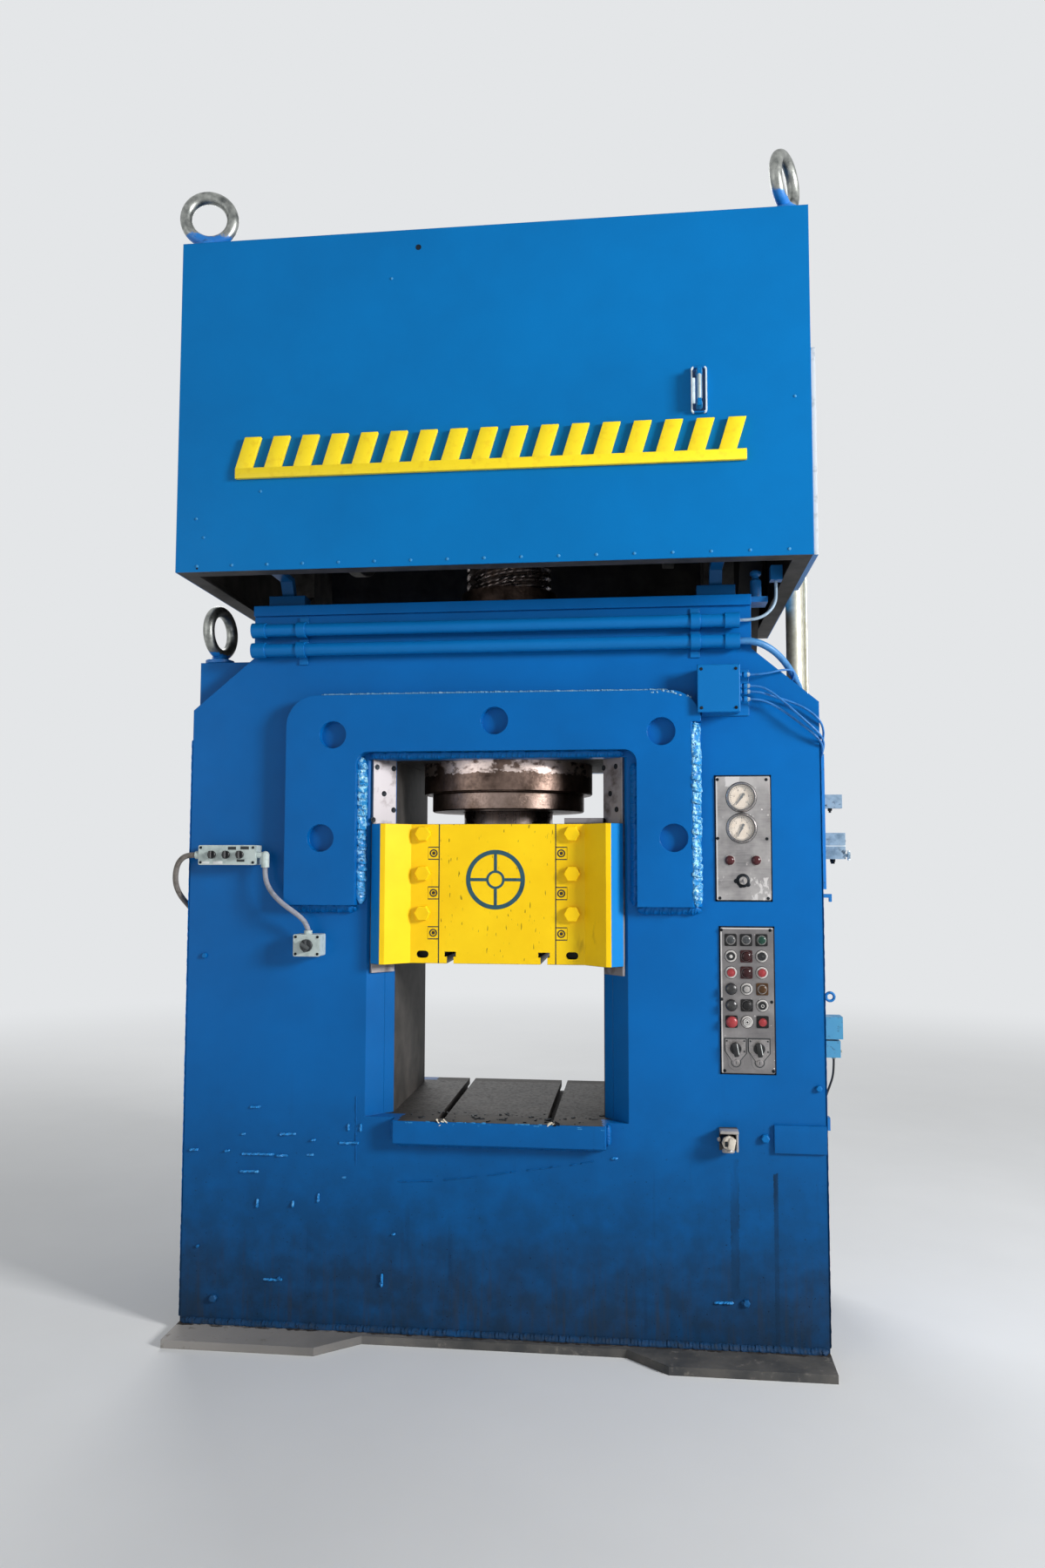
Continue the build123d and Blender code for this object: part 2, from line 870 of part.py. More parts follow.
def make_disc():
    """The right friction disc: a flat face towards the flywheel, a hub and ribs behind."""
    bore = shaft_diameter / 2 + seat_clearance
    hub = disc_hub_diameter / 2
    rim = disc_diameter / 2
    back = disc_face_x + disc_thickness
    hub_end = disc_face_x + disc_hub_length
    outline = [
        (bore, disc_face_x + 6), (hub - 10, disc_face_x + 6), (hub, disc_face_x), (rim - 3, disc_face_x),
        (rim, disc_face_x + 3), (rim, back), (rim - 70, back), (rim - 90, back - 12), (hub + 25, back - 12),
        (hub, hub_end), (bore, hub_end),
    ]
    disc = turned(outline)
    rib = [(hub - 5, back - 13), (rim - 75, back - 13), (rim - 75, back), (hub - 5, hub_end - 10)]
    rib_solid = elevation(rib, -disc_rib_thickness / 2, disc_rib_thickness / 2)
    for turn in range(disc_rib_count):
        disc = disc + Rot(0, 0, turn * 360 / disc_rib_count) * rib_solid
    return along_x(disc, z=shaft_height)


def make_shaft_pulley():
    bore = shaft_diameter / 2 + seat_clearance
    hub = pulley_hub_diameter / 2
    rim = pulley_diameter / 2
    rim_inner = rim - pulley_rim
    middle = (pulley_start + pulley_end) / 2
    web = pulley_web / 2
    outline = [
        (bore, pulley_start), (hub, pulley_start), (hub, middle - web), (rim_inner, middle - web),
        (rim_inner, pulley_start), (rim, pulley_start), (rim, pulley_end), (rim_inner, pulley_end),
        (rim_inner, middle + web), (hub, middle + web), (hub, pulley_end), (bore, pulley_end),
    ]
    return along_x(turned(outline), z=shaft_height)


def make_standard():
    """The right bearing standard on the crown, with its housing round the shaft."""
    foot = standard_foot_depth / 2
    foot_top = frame_height + standard_foot_height
    housing = bearing_housing_diameter / 2
    waist = housing - 15
    outline = [
        (-foot, frame_height), (foot, frame_height), (foot, foot_top), (waist, foot_top + 40),
        (waist, shaft_height), (-waist, shaft_height), (-waist, foot_top + 40), (-foot, foot_top),
    ]
    body = side_view(outline, standard_inner_x, standard_outer_x)
    head = along_x(rod(bearing_housing_diameter, standard_inner_x, standard_outer_x), z=shaft_height)
    bore = rod(shaft_diameter + 2 * running_clearance, standard_inner_x - 1, standard_outer_x + 1)
    return body + head - along_x(bore, z=shaft_height)


def make_shift_cylinder():
    outer = cylinder_diameter / 2
    bore = piston_diameter / 2 + running_clearance
    hole = shaft_diameter / 2 + running_clearance
    near = -standard_outer_x
    far = near - cylinder_length
    room_near = near - cylinder_wall
    room_far = far + cylinder_wall
    outline = [
        (0, far), (outer, far), (outer, near), (hole, near), (hole, room_near),
        (bore, room_near), (bore, room_far), (0, room_far),
    ]
    return along_x(turned(outline), z=shaft_height)


# Motor and belt
def make_motor():
    radius = motor_body_diameter / 2
    end = pulley_start - motor_gap
    start = end - motor_length
    shield = motor_shield
    bore = motor_shaft_diameter / 2 + running_clearance
    outline = [
        (0, start), (radius - 8, start), (radius + 6, start + 8), (radius + 6, start + 70), (radius - 6, start + 74),
        (radius - 6, end - shield), (radius, end - shield), (radius - 20, end), (bore, end), (bore, end - 25), (0, end - 25),
    ]
    body = turned(outline)
    fin_x = (radius - 8, radius + motor_fin_height - 6)
    for turn in range(motor_fin_count):
        angle = turn * 360 / motor_fin_count
        fin = block(fin_x, (-motor_fin_thickness / 2, motor_fin_thickness / 2), (start + 74, end - shield))
        body = body + Rot(0, 0, angle) * fin
    body = along_x(body, 0, motor_axis_y, motor_axis_height)
    foot_z = (motor_axis_height - motor_shaft_height, motor_axis_height - motor_shaft_height + 18)
    foot_half = radius - 10
    low = foot_z[1]
    saddle = block((start + 90, end - 50), (motor_axis_y - foot_half, motor_axis_y + foot_half), foot_z)
    web = block((start + 110, end - 70), (motor_axis_y - foot_half + 30, motor_axis_y + foot_half - 30),
                (low, motor_axis_height - radius / 2))
    side = motor_axis_y + radius
    terminal = block((start + 150, start + 270), (side - 14, side + 60), (motor_axis_height - 60, motor_axis_height + 60))
    return body + saddle + web + terminal


def make_motor_pulley():
    shaft = motor_shaft_diameter / 2
    rim = motor_pulley_diameter / 2
    start = pulley_start - motor_gap - 20
    outline = [
        (0, start), (shaft, start), (shaft, pulley_start), (rim - 2, pulley_start), (rim, pulley_start + 2),
        (rim, pulley_end - 2), (rim - 2, pulley_end), (shaft + 20, pulley_end), (shaft + 20, pulley_end - 12),
        (0, pulley_end - 12),
    ]
    return along_x(turned(outline), 0, motor_axis_y, motor_axis_height)


def belt_band(big, small):
    """The outline face of a belt round both pulleys, in Y and Z."""
    first = Pos(0, shaft_height) * Circle(big)
    second = Pos(motor_axis_y, motor_axis_height) * Circle(small)
    return make_hull([first.edge(), second.edge()])


def make_belt():
    big = pulley_diameter / 2 + belt_clearance
    small = motor_pulley_diameter / 2 + belt_clearance
    outer = belt_band(big + belt_thickness, small + belt_thickness)
    inner = belt_band(big, small)
    x = (pulley_start + pulley_end - belt_width) / 2
    return Pos(x, 0, 0) * extrude(Plane.YZ * (outer - inner), belt_width)


# Casing
def make_casing_shell():
    """Roof, side walls and rear wall in one sheet, open below and in front."""
    outer = block((-casing_half, casing_half), (casing_front + sheet, -casing_front), (casing_foot, casing_top))
    room_x = (-casing_half + sheet, casing_half - sheet)
    room = block(room_x, (casing_front, -casing_front - sheet), (casing_foot - 1, casing_top - sheet))
    hatch_y = (casing_front + sheet + 4, casing_front + sheet + 4 + hatch_depth)
    hatch = block((casing_half, casing_half + hatch_thickness), hatch_y, (casing_foot, casing_foot + hatch_height))
    return outer - room + hatch


def make_casing_front():
    panel = block((-casing_half, casing_half), (casing_front, casing_front + sheet), (casing_foot, casing_top))
    low = handle_middle_height - handle_height / 2
    high = handle_middle_height + handle_height / 2
    x = (handle_x - handle_width / 2, handle_x + handle_width / 2)
    plate = block(x, (casing_front - handle_plate, casing_front), (low, high))
    grip_x = (handle_x - handle_bar / 2, handle_x + handle_bar / 2)
    grip_y = (casing_front - handle_reach, casing_front - handle_reach + handle_bar)
    grip = block(grip_x, grip_y, (low + handle_bar, high - handle_bar))
    shapes = [panel, plate, grip]
    for z in (low + handle_bar, high - 2 * handle_bar):
        shapes.append(block(grip_x, (casing_front - handle_reach, casing_front), (z, z + handle_bar)))
    return fused(shapes)


def angle_ring(low, flange_up):
    """A rectangular ring of angle bar inside the casing sheet."""
    x = casing_half - sheet
    y = -casing_front - sheet
    high = low + angle_leg
    upright = block((-x, x), (-y, y), (low, high)) - block(
        (angle_thickness - x, x - angle_thickness), (angle_thickness - y, y - angle_thickness), (low - 1, high + 1))
    flange_z = (high - angle_thickness, high) if flange_up else (low, low + angle_thickness)
    flange = block((-x, x), (-y, y), flange_z) - block(
        (angle_leg - x, x - angle_leg), (angle_leg - y, y - angle_leg), (flange_z[0] - 1, flange_z[1] + 1))
    return upright + flange


def corner_post():
    x = casing_half - sheet
    y = -casing_front - sheet
    z = (casing_foot + 1, casing_top - sheet - 1)
    one = block((x - angle_leg, x), (y - angle_thickness, y), z)
    other = block((x - angle_thickness, x), (y - angle_leg, y), z)
    return one + other


def make_strut():
    """A foot on the crown and a brace forward and up to the casing's lower ring, on the right."""
    middle = strut_spacing / 2
    x = (middle - strut_foot_length / 2, middle + strut_foot_length / 2)
    foot_y = (front, front + strut_foot_depth)
    foot_top = frame_height + strut_foot_height
    foot = block(x, foot_y, (frame_height, foot_top))
    ring_y = casing_front + sheet + angle_thickness
    high = casing_foot + angle_leg
    outline = [
        (front + 15, foot_top - 1), (front + 45, foot_top - 1), (front + 15, high), (ring_y - 1, high),
        (ring_y - 1, high - strut_thickness), (front - 12, high - strut_thickness),
    ]
    brace = side_view(outline, middle - strut_width / 2, middle + strut_width / 2)
    return foot + brace


def make_casing_frame():
    shapes = [angle_ring(casing_foot, False), angle_ring(casing_top - sheet - angle_leg, True)]
    shapes += front_and_rear(both_sides(corner_post()))
    shapes += front_and_rear(both_sides(make_strut()))
    return fused(shapes)


# Lifting eyes
def make_eye():
    """A lifting eye standing at the origin, its ring facing the front."""
    ring_radius = (eye_ring_diameter - eye_bar_diameter) / 2
    middle = eye_collar_height + eye_ring_diameter / 2 + 4
    ring = Pos(0, 0, middle) * Rot(90, 0, 0) * Torus(ring_radius, eye_bar_diameter / 2)
    neck_top = middle - ring_radius
    collar, neck = eye_collar_diameter / 2, eye_neck_diameter / 2
    foot = turned([
        (0, 0), (collar - 3, 0), (collar, 3), (collar, eye_collar_height), (neck, eye_collar_height + 6),
        (neck - 8, neck_top), (0, neck_top),
    ])
    return ring + foot


def make_eyes():
    eye = make_eye()
    x = casing_half - eye_inset
    y = casing_front + eye_inset
    shapes = []
    for place_x, place_y, turn in ((-x, y, 12), (x, y, 62), (-x, -y, -30), (x, -y, 40)):
        shapes.append(Pos(place_x, place_y, casing_top) * Rot(0, 0, turn) * eye)
    shoulder_x = shoulder_eye_inset - half_width
    shoulder_y = shoulder_eye_inset - inside_y
    shoulder_z = shoulder_height + shoulder_block_height
    shapes.append(Pos(shoulder_x, shoulder_y, shoulder_z) * Rot(0, 0, shoulder_eye_turn) * eye)
    return shapes


# Air pipes
def pipe_middle_y():
    return front - pipe_standoff - pipe_diameter / 2


def make_air_pipes():
    """Two pipes and two double clamps, as separate solids."""
    shapes = []
    y = pipe_middle_y()
    heights = (pipe_lower_height, pipe_upper_height)
    for z in heights:
        pipe = rod(pipe_diameter, -pipe_left, pipe_right)
        left_collar = rod(collar_diameter, -pipe_left, -pipe_left + collar_length)
        right_collar = rod(collar_diameter, pipe_right - collar_length, pipe_right)
        shapes.append(along_x(pipe + left_collar + right_collar, 0, y, z))
    strap_diameter = pipe_diameter + 2 * clamp_thickness
    reach = strap_diameter / 2
    for middle in (clamp_middle - clamp_spacing / 2, clamp_middle + clamp_spacing / 2):
        x = (middle - clamp_width / 2, middle + clamp_width / 2)
        foot_z = (heights[0] - reach - clamp_foot, heights[1] + reach + clamp_foot)
        clamp = block(x, (front - clamp_thickness, front), foot_z)
        for z in heights:
            clamp = clamp + block(x, (y, front), (z - reach, z + reach)) + along_x(rod(strap_diameter, *x), 0, y, z)
        for z in heights:
            clamp = clamp - along_x(rod(pipe_diameter + 2 * seat_clearance, x[0] - 1, x[1] + 1), 0, y, z)
        shapes.append(clamp)
    return shapes


def elbowed_pipe(diameter, x, y, foot, top, wall, bend):
    """A pipe that rises at x and turns left into the casing's side wall."""
    path = FilletPolyline((x, y, foot), (x, y, top), (wall, y, top), radius=bend)
    section = Plane(origin=(x, y, foot), z_dir=(0, 0, 1)) * Circle(diameter / 2)
    return sweep(section, path=path)


def make_risers():
    """The wide pipe with its foot, and the thin conduit with its end box and clips."""
    wide = elbowed_pipe(riser_diameter, riser_x, riser_y, shoulder_height, riser_top, casing_half, riser_bend)
    foot = rod(riser_flange_diameter, shoulder_height, shoulder_height + riser_flange_height)
    foot = Pos(riser_x, riser_y, 0) * foot
    foot = foot & block((0, half_width), (-half_depth, half_depth), (0, casing_top))
    narrow_top = riser_top + conduit_rise
    narrow = elbowed_pipe(conduit_diameter, conduit_x, riser_y, conduit_foot, narrow_top, casing_half, conduit_bend)
    box_x = (half_width, conduit_x + conduit_diameter + 3)
    box_y = (riser_y - conduit_box_depth / 2, riser_y + conduit_box_depth / 2)
    end_box = block(box_x, box_y, (conduit_foot - conduit_box_height, conduit_foot + 1))
    clip_x = (half_width, conduit_x + conduit_diameter / 2 + 3)
    clip_y = (riser_y - conduit_clip_depth / 2, riser_y + conduit_clip_depth / 2)
    clip_foot = shoulder_height - conduit_clip_drop
    clip = block(clip_x, clip_y, (clip_foot, clip_foot + conduit_clip_height))
    return [wide + foot, narrow + end_box + clip]


# Junction box
def junction_front():
    return front - junction_plate_thickness - junction_depth


def gland_heights():
    return [junction_z + step for step in (47.0, 11.0, -7.0, -31.0)]


def make_junction_box():
    half = junction_width / 2
    tall = junction_height / 2
    back = front - junction_plate_thickness
    lid_back = junction_front() + junction_lid
    left = junction_x - half + junction_inset
    plate = block((left, junction_x + half + junction_plate_offset * 2), (back, front),
                  (junction_z - tall - 4, junction_z + tall - 8))
    body = block((left, junction_x + half - 2), (lid_back + junction_lid_gap, back),
                 (junction_z - tall + 2, junction_z + tall - 2))
    neck = block((left + 4, junction_x + half - 6), (lid_back - 1, lid_back + junction_lid_gap + 1),
                 (junction_z - tall + 6, junction_z + tall - 6))
    lid = block((junction_x - half, junction_x + half), (junction_front(), lid_back), (junction_z - tall, junction_z + tall))
    lid = chamfer(lid.faces().sort_by(Axis.Y)[0].edges(), 2)
    shapes = [plate, body, neck, lid]
    middle_y = (lid_back + back) / 2 + 4
    for z in gland_heights():
        gland = rod(gland_diameter, 0, gland_length - 8) + rod(gland_diameter - 4, gland_length - 8, gland_length)
        shapes.append(along_x(gland, junction_x + half - 2, middle_y, z))
    return fused(shapes)


# Panels
def button_places():
    """Every 22 mm control on the button panel: column, row, kind."""
    return [
        ("button_upper_left", 0, 1, "round"),
        ("button_upper_right", 2, 1, "round"),
        ("button_red_left", 0, 2, "round"),
        ("button_red_right", 2, 2, "round"),
        ("mushroom_upper", 0, 3, "mushroom"),
        ("button_silver", 1, 3, "round"),
        ("mushroom_lower", 0, 4, "mushroom"),
        ("button_lower_right", 2, 4, "round"),
        ("mushroom_red", 0, 5, "mushroom_square"),
        ("button_bottom_middle", 1, 5, "round"),
        ("button_bottom_right", 2, 5, "square"),
    ]


def lamp_places():
    """Square pilot lamps on the button panel: column, row."""
    return [(0, 0), (1, 0), (2, 0), (1, 1), (1, 2), (2, 3), (1, 4)]


def grid_place(column, row):
    return (button_middle_x + (column - 1) * button_columns, button_top_z - row * button_rows)


def square_bezel(x, z):
    half = bezel_square / 2
    y = front - panel_thickness
    bezel = block((x - half, x + half), (y - bezel_height, y), (z - half, z + half))
    return chamfer(bezel.faces().sort_by(Axis.Y)[0].edges(), 1)


def round_bezel(x, z):
    y = front - panel_thickness
    radius = bezel_round / 2
    profile = [(0, 0), (radius, 0), (radius, bezel_height - 2), (radius - 2, bezel_height), (0, bezel_height)]
    return towards_front(turned(profile), x, y, z)


def make_button_panel():
    x = button_panel_x
    half = button_panel_width / 2
    tall = button_panel_height / 2
    panel = block((x - half, x + half), (front - panel_thickness, front), (button_panel_z - tall, button_panel_z + tall))
    panel = fillet(panel.edges().filter_by(Axis.Y), 4)
    hole = button_diameter + 2 * button_hole_clearance
    for name, column, row, kind in button_places():
        px, pz = grid_place(column, row)
        bezel = square_bezel(px, pz) if "square" in kind else round_bezel(px, pz)
        panel = panel + bezel
        panel = panel - towards_front(rod(hole, -panel_thickness - 1, bezel_height + 1), px, front - panel_thickness, pz)
    for column, row in lamp_places():
        px, pz = grid_place(column, row)
        panel = panel + square_bezel(px, pz)
        panel = panel - towards_front(rod(lamp_diameter, 0, bezel_height + 1), px, front - panel_thickness, pz)
    for side in (-1, 1):
        panel = panel + selector_shield(button_middle_x + side * selector_spacing / 2)
    return panel


def selector_shield(x):
    """The shield plate under a selector, tapering to a round end with its lock."""
    half = selector_plate / 2
    bulb = selector_bulb_diameter / 2
    top = selector_z + selector_plate_top
    shoulder = selector_z - selector_plate_shoulder
    foot = selector_z - selector_bulb_drop
    y = front - panel_thickness
    outline = [
        (x - half, top), (x + half, top), (x + half, shoulder), (x + bulb, foot + 8),
        (x + bulb, foot), (x - bulb, foot), (x - bulb, foot + 8), (x - half, shoulder),
    ]
    plate = elevation(outline, y - selector_plate_thickness, y)
    end = towards_front(rod(selector_bulb_diameter, 0, selector_plate_thickness), x, y, foot)
    lock = towards_front(rod(selector_lock_diameter, 0, selector_lock_height), x, y, foot)
    return plate + end + lock


def make_button(kind, x, z):
    """A push-button cap at rest, whose foot has the whole travel free behind it."""
    foot = button_travel + button_seat - panel_thickness
    face = bezel_height + button_reach
    radius = button_diameter / 2
    if kind.startswith("mushroom"):
        head = mushroom_diameter / 2
        low = bezel_height + button_travel + 3
        top = low + mushroom_height
        profile = [(0, foot), (radius, foot), (radius, low), (head, low), (head, low + 3),
                   (head - 5, top - 1), (head - 10, top), (0, top)]
    else:
        profile = [(0, foot), (radius, foot), (radius, face - 1.5), (radius - 1.5, face), (0, face)]
    return towards_front(turned(profile), x, front - panel_thickness, z)


def make_knob(x, y, z, diameter, turn=0.0):
    """A rotary handle whose back lies just off the surface at y, turned clockwise from upright."""
    base = rod(diameter, knob_gap, knob_base)
    base = chamfer(base.edges().group_by(Axis.Z)[-1], 1.5)
    height = knob_grip_height + 1
    grip = Pos(0, 0, knob_base - 1 + height / 2) * Box(knob_grip_thickness, diameter - 2, height)
    grip = chamfer(grip.faces().sort_by(Axis.Z)[-1].edges(), 2)
    return towards_front(Rot(0, 0, -turn) * (base + grip), x, y, z)


def make_key():
    """The round barrel of the key switch with the key in it."""
    barrel = rod(key_barrel_diameter, knob_gap, key_barrel_height)
    blade = Pos(0, 0, key_barrel_height + 5) * Box(2.5, 8, 12)
    bow = Pos(0, 0, key_barrel_height + 20) * Rot(0, 90, 0) * Cylinder(11, 2.5)
    hole = Pos(0, 0, key_barrel_height + 24) * Rot(0, 90, 0) * Cylinder(3, 4)
    return towards_front(barrel + blade + bow - hole, key_x, front - panel_thickness - key_collar_height, key_z)


def make_gauge_panel():
    x = gauge_panel_x
    half = gauge_panel_width / 2
    tall = gauge_panel_height / 2
    face = front - panel_thickness
    panel = block((x - half, x + half), (face, front), (gauge_panel_z - tall, gauge_panel_z + tall))
    panel = fillet(panel.edges().filter_by(Axis.Y), 4)
    outer = gauge_diameter / 2
    inner = outer - gauge_rim
    case = turned([
        (0, 0), (outer, 0), (outer, gauge_depth - 4), (outer - 3, gauge_depth), (inner, gauge_depth),
        (inner, dial_depth), (0, dial_depth),
    ])
    for z in (gauge_upper_z, gauge_lower_z):
        panel = panel + towards_front(case, gauge_x, face, z)
    for side in (-1, 1):
        seat = tube(lamp_diameter + 8, lamp_diameter, 0, 4)
        panel = panel + towards_front(seat, key_x + side * gauge_lamp_spacing / 2, face, gauge_lamp_z)
    collar = rod(key_collar_diameter, 0, key_collar_height)
    panel = panel + towards_front(collar, key_x, face, key_z)
    return panel


def make_pointer(z, angle):
    """A gauge pointer, turned clockwise from straight up by its angle."""
    low = dial_depth + pointer_gap
    blade = Polygon((-2.2, -pointer_tail), (2.2, -pointer_tail), (0.6, pointer_length), (-0.6, pointer_length), align=None)
    pointer = extrude(blade, pointer_thickness) + rod(9, 0, pointer_thickness + 0.8)
    pointer = pointer + rod(3, 0.3 - pointer_gap, 0)
    return towards_front(Pos(0, 0, low) * Rot(0, 0, -angle) * pointer, gauge_x, front - panel_thickness, z)


def make_lenses():
    """The gauge glasses and the domes of all pilot lamps."""
    face = front - panel_thickness
    glass_radius = gauge_diameter / 2 - gauge_rim - seat_clearance
    shapes = []
    for z in (gauge_upper_z, gauge_lower_z):
        glass = turned([(0, gauge_depth - lens_thickness - 2), (glass_radius, gauge_depth - lens_thickness - 2),
                        (glass_radius, gauge_depth - 2), (0, gauge_depth - 2)])
        shapes.append(towards_front(glass, gauge_x, face, z))
    radius = lamp_diameter / 2 - seat_clearance
    dome = [(0, 0), (radius, 0), (radius, lamp_reach * 0.5), (radius - 3, lamp_reach - 4), (radius - 7, lamp_reach), (0, lamp_reach)]
    for side in (-1, 1):
        shapes.append(towards_front(turned(dome), key_x + side * gauge_lamp_spacing / 2, face, gauge_lamp_z))
    low_dome = [(0, 0), (radius, 0), (radius, 11), (radius - 3, 15), (radius - 8, 17), (0, 17)]
    for column, row in lamp_places():
        px, pz = grid_place(column, row)
        shapes.append(towards_front(turned(low_dome), px, face, pz))
    return shapes


# Switch boxes on the left
def switch_box_front():
    return front - switch_box_depth


def boxed(x, z, width, height, depth):
    """A small enclosure with a lid line, standing on the front plate."""
    half, tall = width / 2, height / 2
    face = front - depth
    body = block((x - half, x + half), (face + box_lid + 1, front), (z - tall, z + tall))
    neck = block((x - half + 1.5, x + half - 1.5), (face + box_lid - 1, face + box_lid + 2), (z - tall + 1.5, z + tall - 1.5))
    lid = block((x - half, x + half), (face, face + box_lid), (z - tall, z + tall))
    body = fillet(body.edges().filter_by(Axis.Y), 5)
    lid = fillet(lid.edges().filter_by(Axis.Y), 5)
    return body + neck + lid


def elbow_x():
    return switch_box_x + switch_box_width / 2 + 28


def conduit_start_z():
    return switch_box_z - elbow_drop


def make_switch_boxes():
    box = boxed(switch_box_x, switch_box_z, switch_box_width, switch_box_height, switch_box_depth)
    right = switch_box_x + switch_box_width / 2
    left = switch_box_x - switch_box_width / 2
    y = front - 45
    nut = along_x(rod(elbow_diameter - 6, right - 2, elbow_x()), 0, y, switch_box_z)
    corner = Pos(elbow_x(), y, switch_box_z) * Sphere(elbow_diameter / 2)
    drop = Pos(elbow_x(), y, 0) * rod(elbow_diameter, conduit_start_z(), switch_box_z)
    left_gland = along_x(rod(elbow_diameter, left - 14, left + 2), 0, y, switch_box_z)
    small = boxed(small_box_x, small_box_z, small_box_width, small_box_height, small_box_depth)
    top = small_box_z + small_box_height / 2
    small_gland = Pos(small_box_x, y, 0) * rod(elbow_diameter, top - 2, top + 12)
    return [fused([box, nut, corner, drop, left_gland]), small + small_gland]


# Right-hand side wall and other small fittings
def make_side_fittings():
    """Separate solids: duct, boxes, limit switches, eye, hook, coupling, blocks and glands."""
    wall = half_width
    y = side_item_y
    shapes = []
    duct = block((wall, wall + duct_width), (duct_y - duct_depth / 2, duct_y + duct_depth / 2), (duct_foot, duct_top))
    shapes.append(duct)
    shapes.append(make_top_switch(wall, y))
    shapes.append(make_switch_case(wall, y))
    shapes.append(make_limit_switch(wall, y))
    stalk_end = wall + wall_eye_reach - wall_eye_diameter / 2 + wall_eye_bar / 2
    stalk = along_x(rod(wall_eye_bar + 3, wall, stalk_end), 0, y, wall_eye_z)
    eye = Pos(wall + wall_eye_reach, y, wall_eye_z) * Rot(90, 0, 0) * Torus(wall_eye_diameter / 2, wall_eye_bar / 2)
    shapes.append(stalk + eye)
    shapes.append(make_hook(wall, y))
    shapes.append(make_coupling())
    shapes.append(make_air_bowl())
    ring_inner = casing_half - sheet - angle_leg
    hose_block_y_span = (hose_block_y - hose_block_half, hose_block_y + hose_block_half)
    hose_block_z = (casing_foot, casing_foot + hose_block_height)
    shapes.append(block((hose_block_x - hose_block_half + 2, ring_inner), hose_block_y_span, hose_block_z))
    for gx, gy in (hose_entry, cable_entry):
        shapes.append(Pos(gx, gy, 0) * rod(entry_gland_diameter, shoulder_height, entry_top))
    reach = wall_gland_size / 2
    entry_x = (feed_entry[0] - reach, -half_width)
    entry_z = (feed_entry[2] - wall_gland_height, feed_entry[2])
    shapes.append(block(entry_x, (feed_entry[1] - reach, feed_entry[1] + reach), entry_z))
    low_z = (limit_entry_z - wall_gland_height, limit_entry_z)
    shapes.append(block((half_width, half_width + wall_gland_size + 6), (y - reach, y + reach), low_z))
    return shapes


def make_top_switch(wall, y):
    """The upper switch on its back plate."""
    plate_z = (top_switch_z - top_plate_height / 2, top_switch_z + top_plate_height / 2)
    plate = block((wall, wall + wall_plate_thickness), (y - top_plate_depth / 2, y + top_plate_depth / 2), plate_z)
    body_x = (wall + wall_plate_thickness, wall + top_switch_reach)
    body_z = (top_switch_z - top_switch_height / 2, top_switch_z + top_switch_height / 2)
    return plate + block(body_x, (y - top_switch_depth / 2, y + top_switch_depth / 2), body_z)


def make_switch_case(wall, y):
    """The two-part switch case with its joint line and the plunger on its end."""
    half = switch_case_depth / 2
    end = wall + switch_case_reach
    low = switch_case_z - switch_case_height / 2
    high = switch_case_z + switch_case_height / 2
    joint = (switch_case_z - switch_case_joint / 2, switch_case_z + switch_case_joint / 2)
    lower = block((wall, end), (y - half, y + half), (low, joint[0]))
    upper = block((wall, end), (y - half, y + half), (joint[1], high))
    inset = half - switch_case_groove
    middle = block((wall, end - switch_case_groove), (y - inset, y + inset), (joint[0] - 1, joint[1] + 1))
    cap_start = end + plunger_reach - 6
    plunger = rod(plunger_diameter, end - 2, cap_start) + rod(plunger_cap_diameter, cap_start, end + plunger_reach)
    return fused([lower, middle, upper, along_x(plunger, 0, y, switch_case_z - plunger_drop)])


def make_limit_switch(wall, y):
    """The limit switch low on the wall: a wide upper body over a narrower one."""
    half = limit_switch_depth / 2
    low = limit_switch_z - limit_switch_height / 2
    high = limit_switch_z + limit_switch_height / 2
    start = wall + wall_plate_thickness
    split = limit_switch_z - limit_switch_gap
    back = block((wall, start + 2), (y - half - 4, y + half + 4), (low + 4, high - 2))
    upper = block((start, wall + limit_switch_reach), (y - half, y + half), (split, high))
    lower = block((start, wall + limit_switch_reach - 8), (y - half + 2, y + half - 2), (low, split - limit_switch_gap))
    return fused([back, upper, lower])


def make_hook(wall, y):
    half = hook_depth / 2
    plate = block((wall, wall + wall_plate_thickness), (y - half, y + half), (hook_z - hook_height / 2, hook_z + hook_height / 2))
    arm = block((wall, wall + hook_reach), (y - half + 4, y + half - 4), (hook_z - hook_bar / 2, hook_z + hook_bar / 2))
    tip_x = (wall + hook_reach - wall_plate_thickness, wall + hook_reach)
    tip = block(tip_x, (y - half + 4, y + half - 4), (hook_z - 1.6 * hook_bar, hook_z + hook_bar / 2))
    return fused([plate, arm, tip])


def make_coupling():
    """The quick coupling on its seat on the front plate."""
    seat_x = (coupling_x - coupling_seat_width / 2, coupling_x + coupling_seat_width / 2)
    seat_z = (coupling_z - coupling_seat_height / 2, coupling_z + coupling_seat_height / 2)
    seat = block(seat_x, (front - coupling_seat_thickness, front), seat_z)
    profile = [(0, 0), (22, 0), (22, 12), (15, 14), (15, 26), (20, 28), (20, 44), (13, 46), (13, 54), (0, 54)]
    return seat + towards_front(turned(profile), coupling_x, front - coupling_seat_thickness, coupling_z)


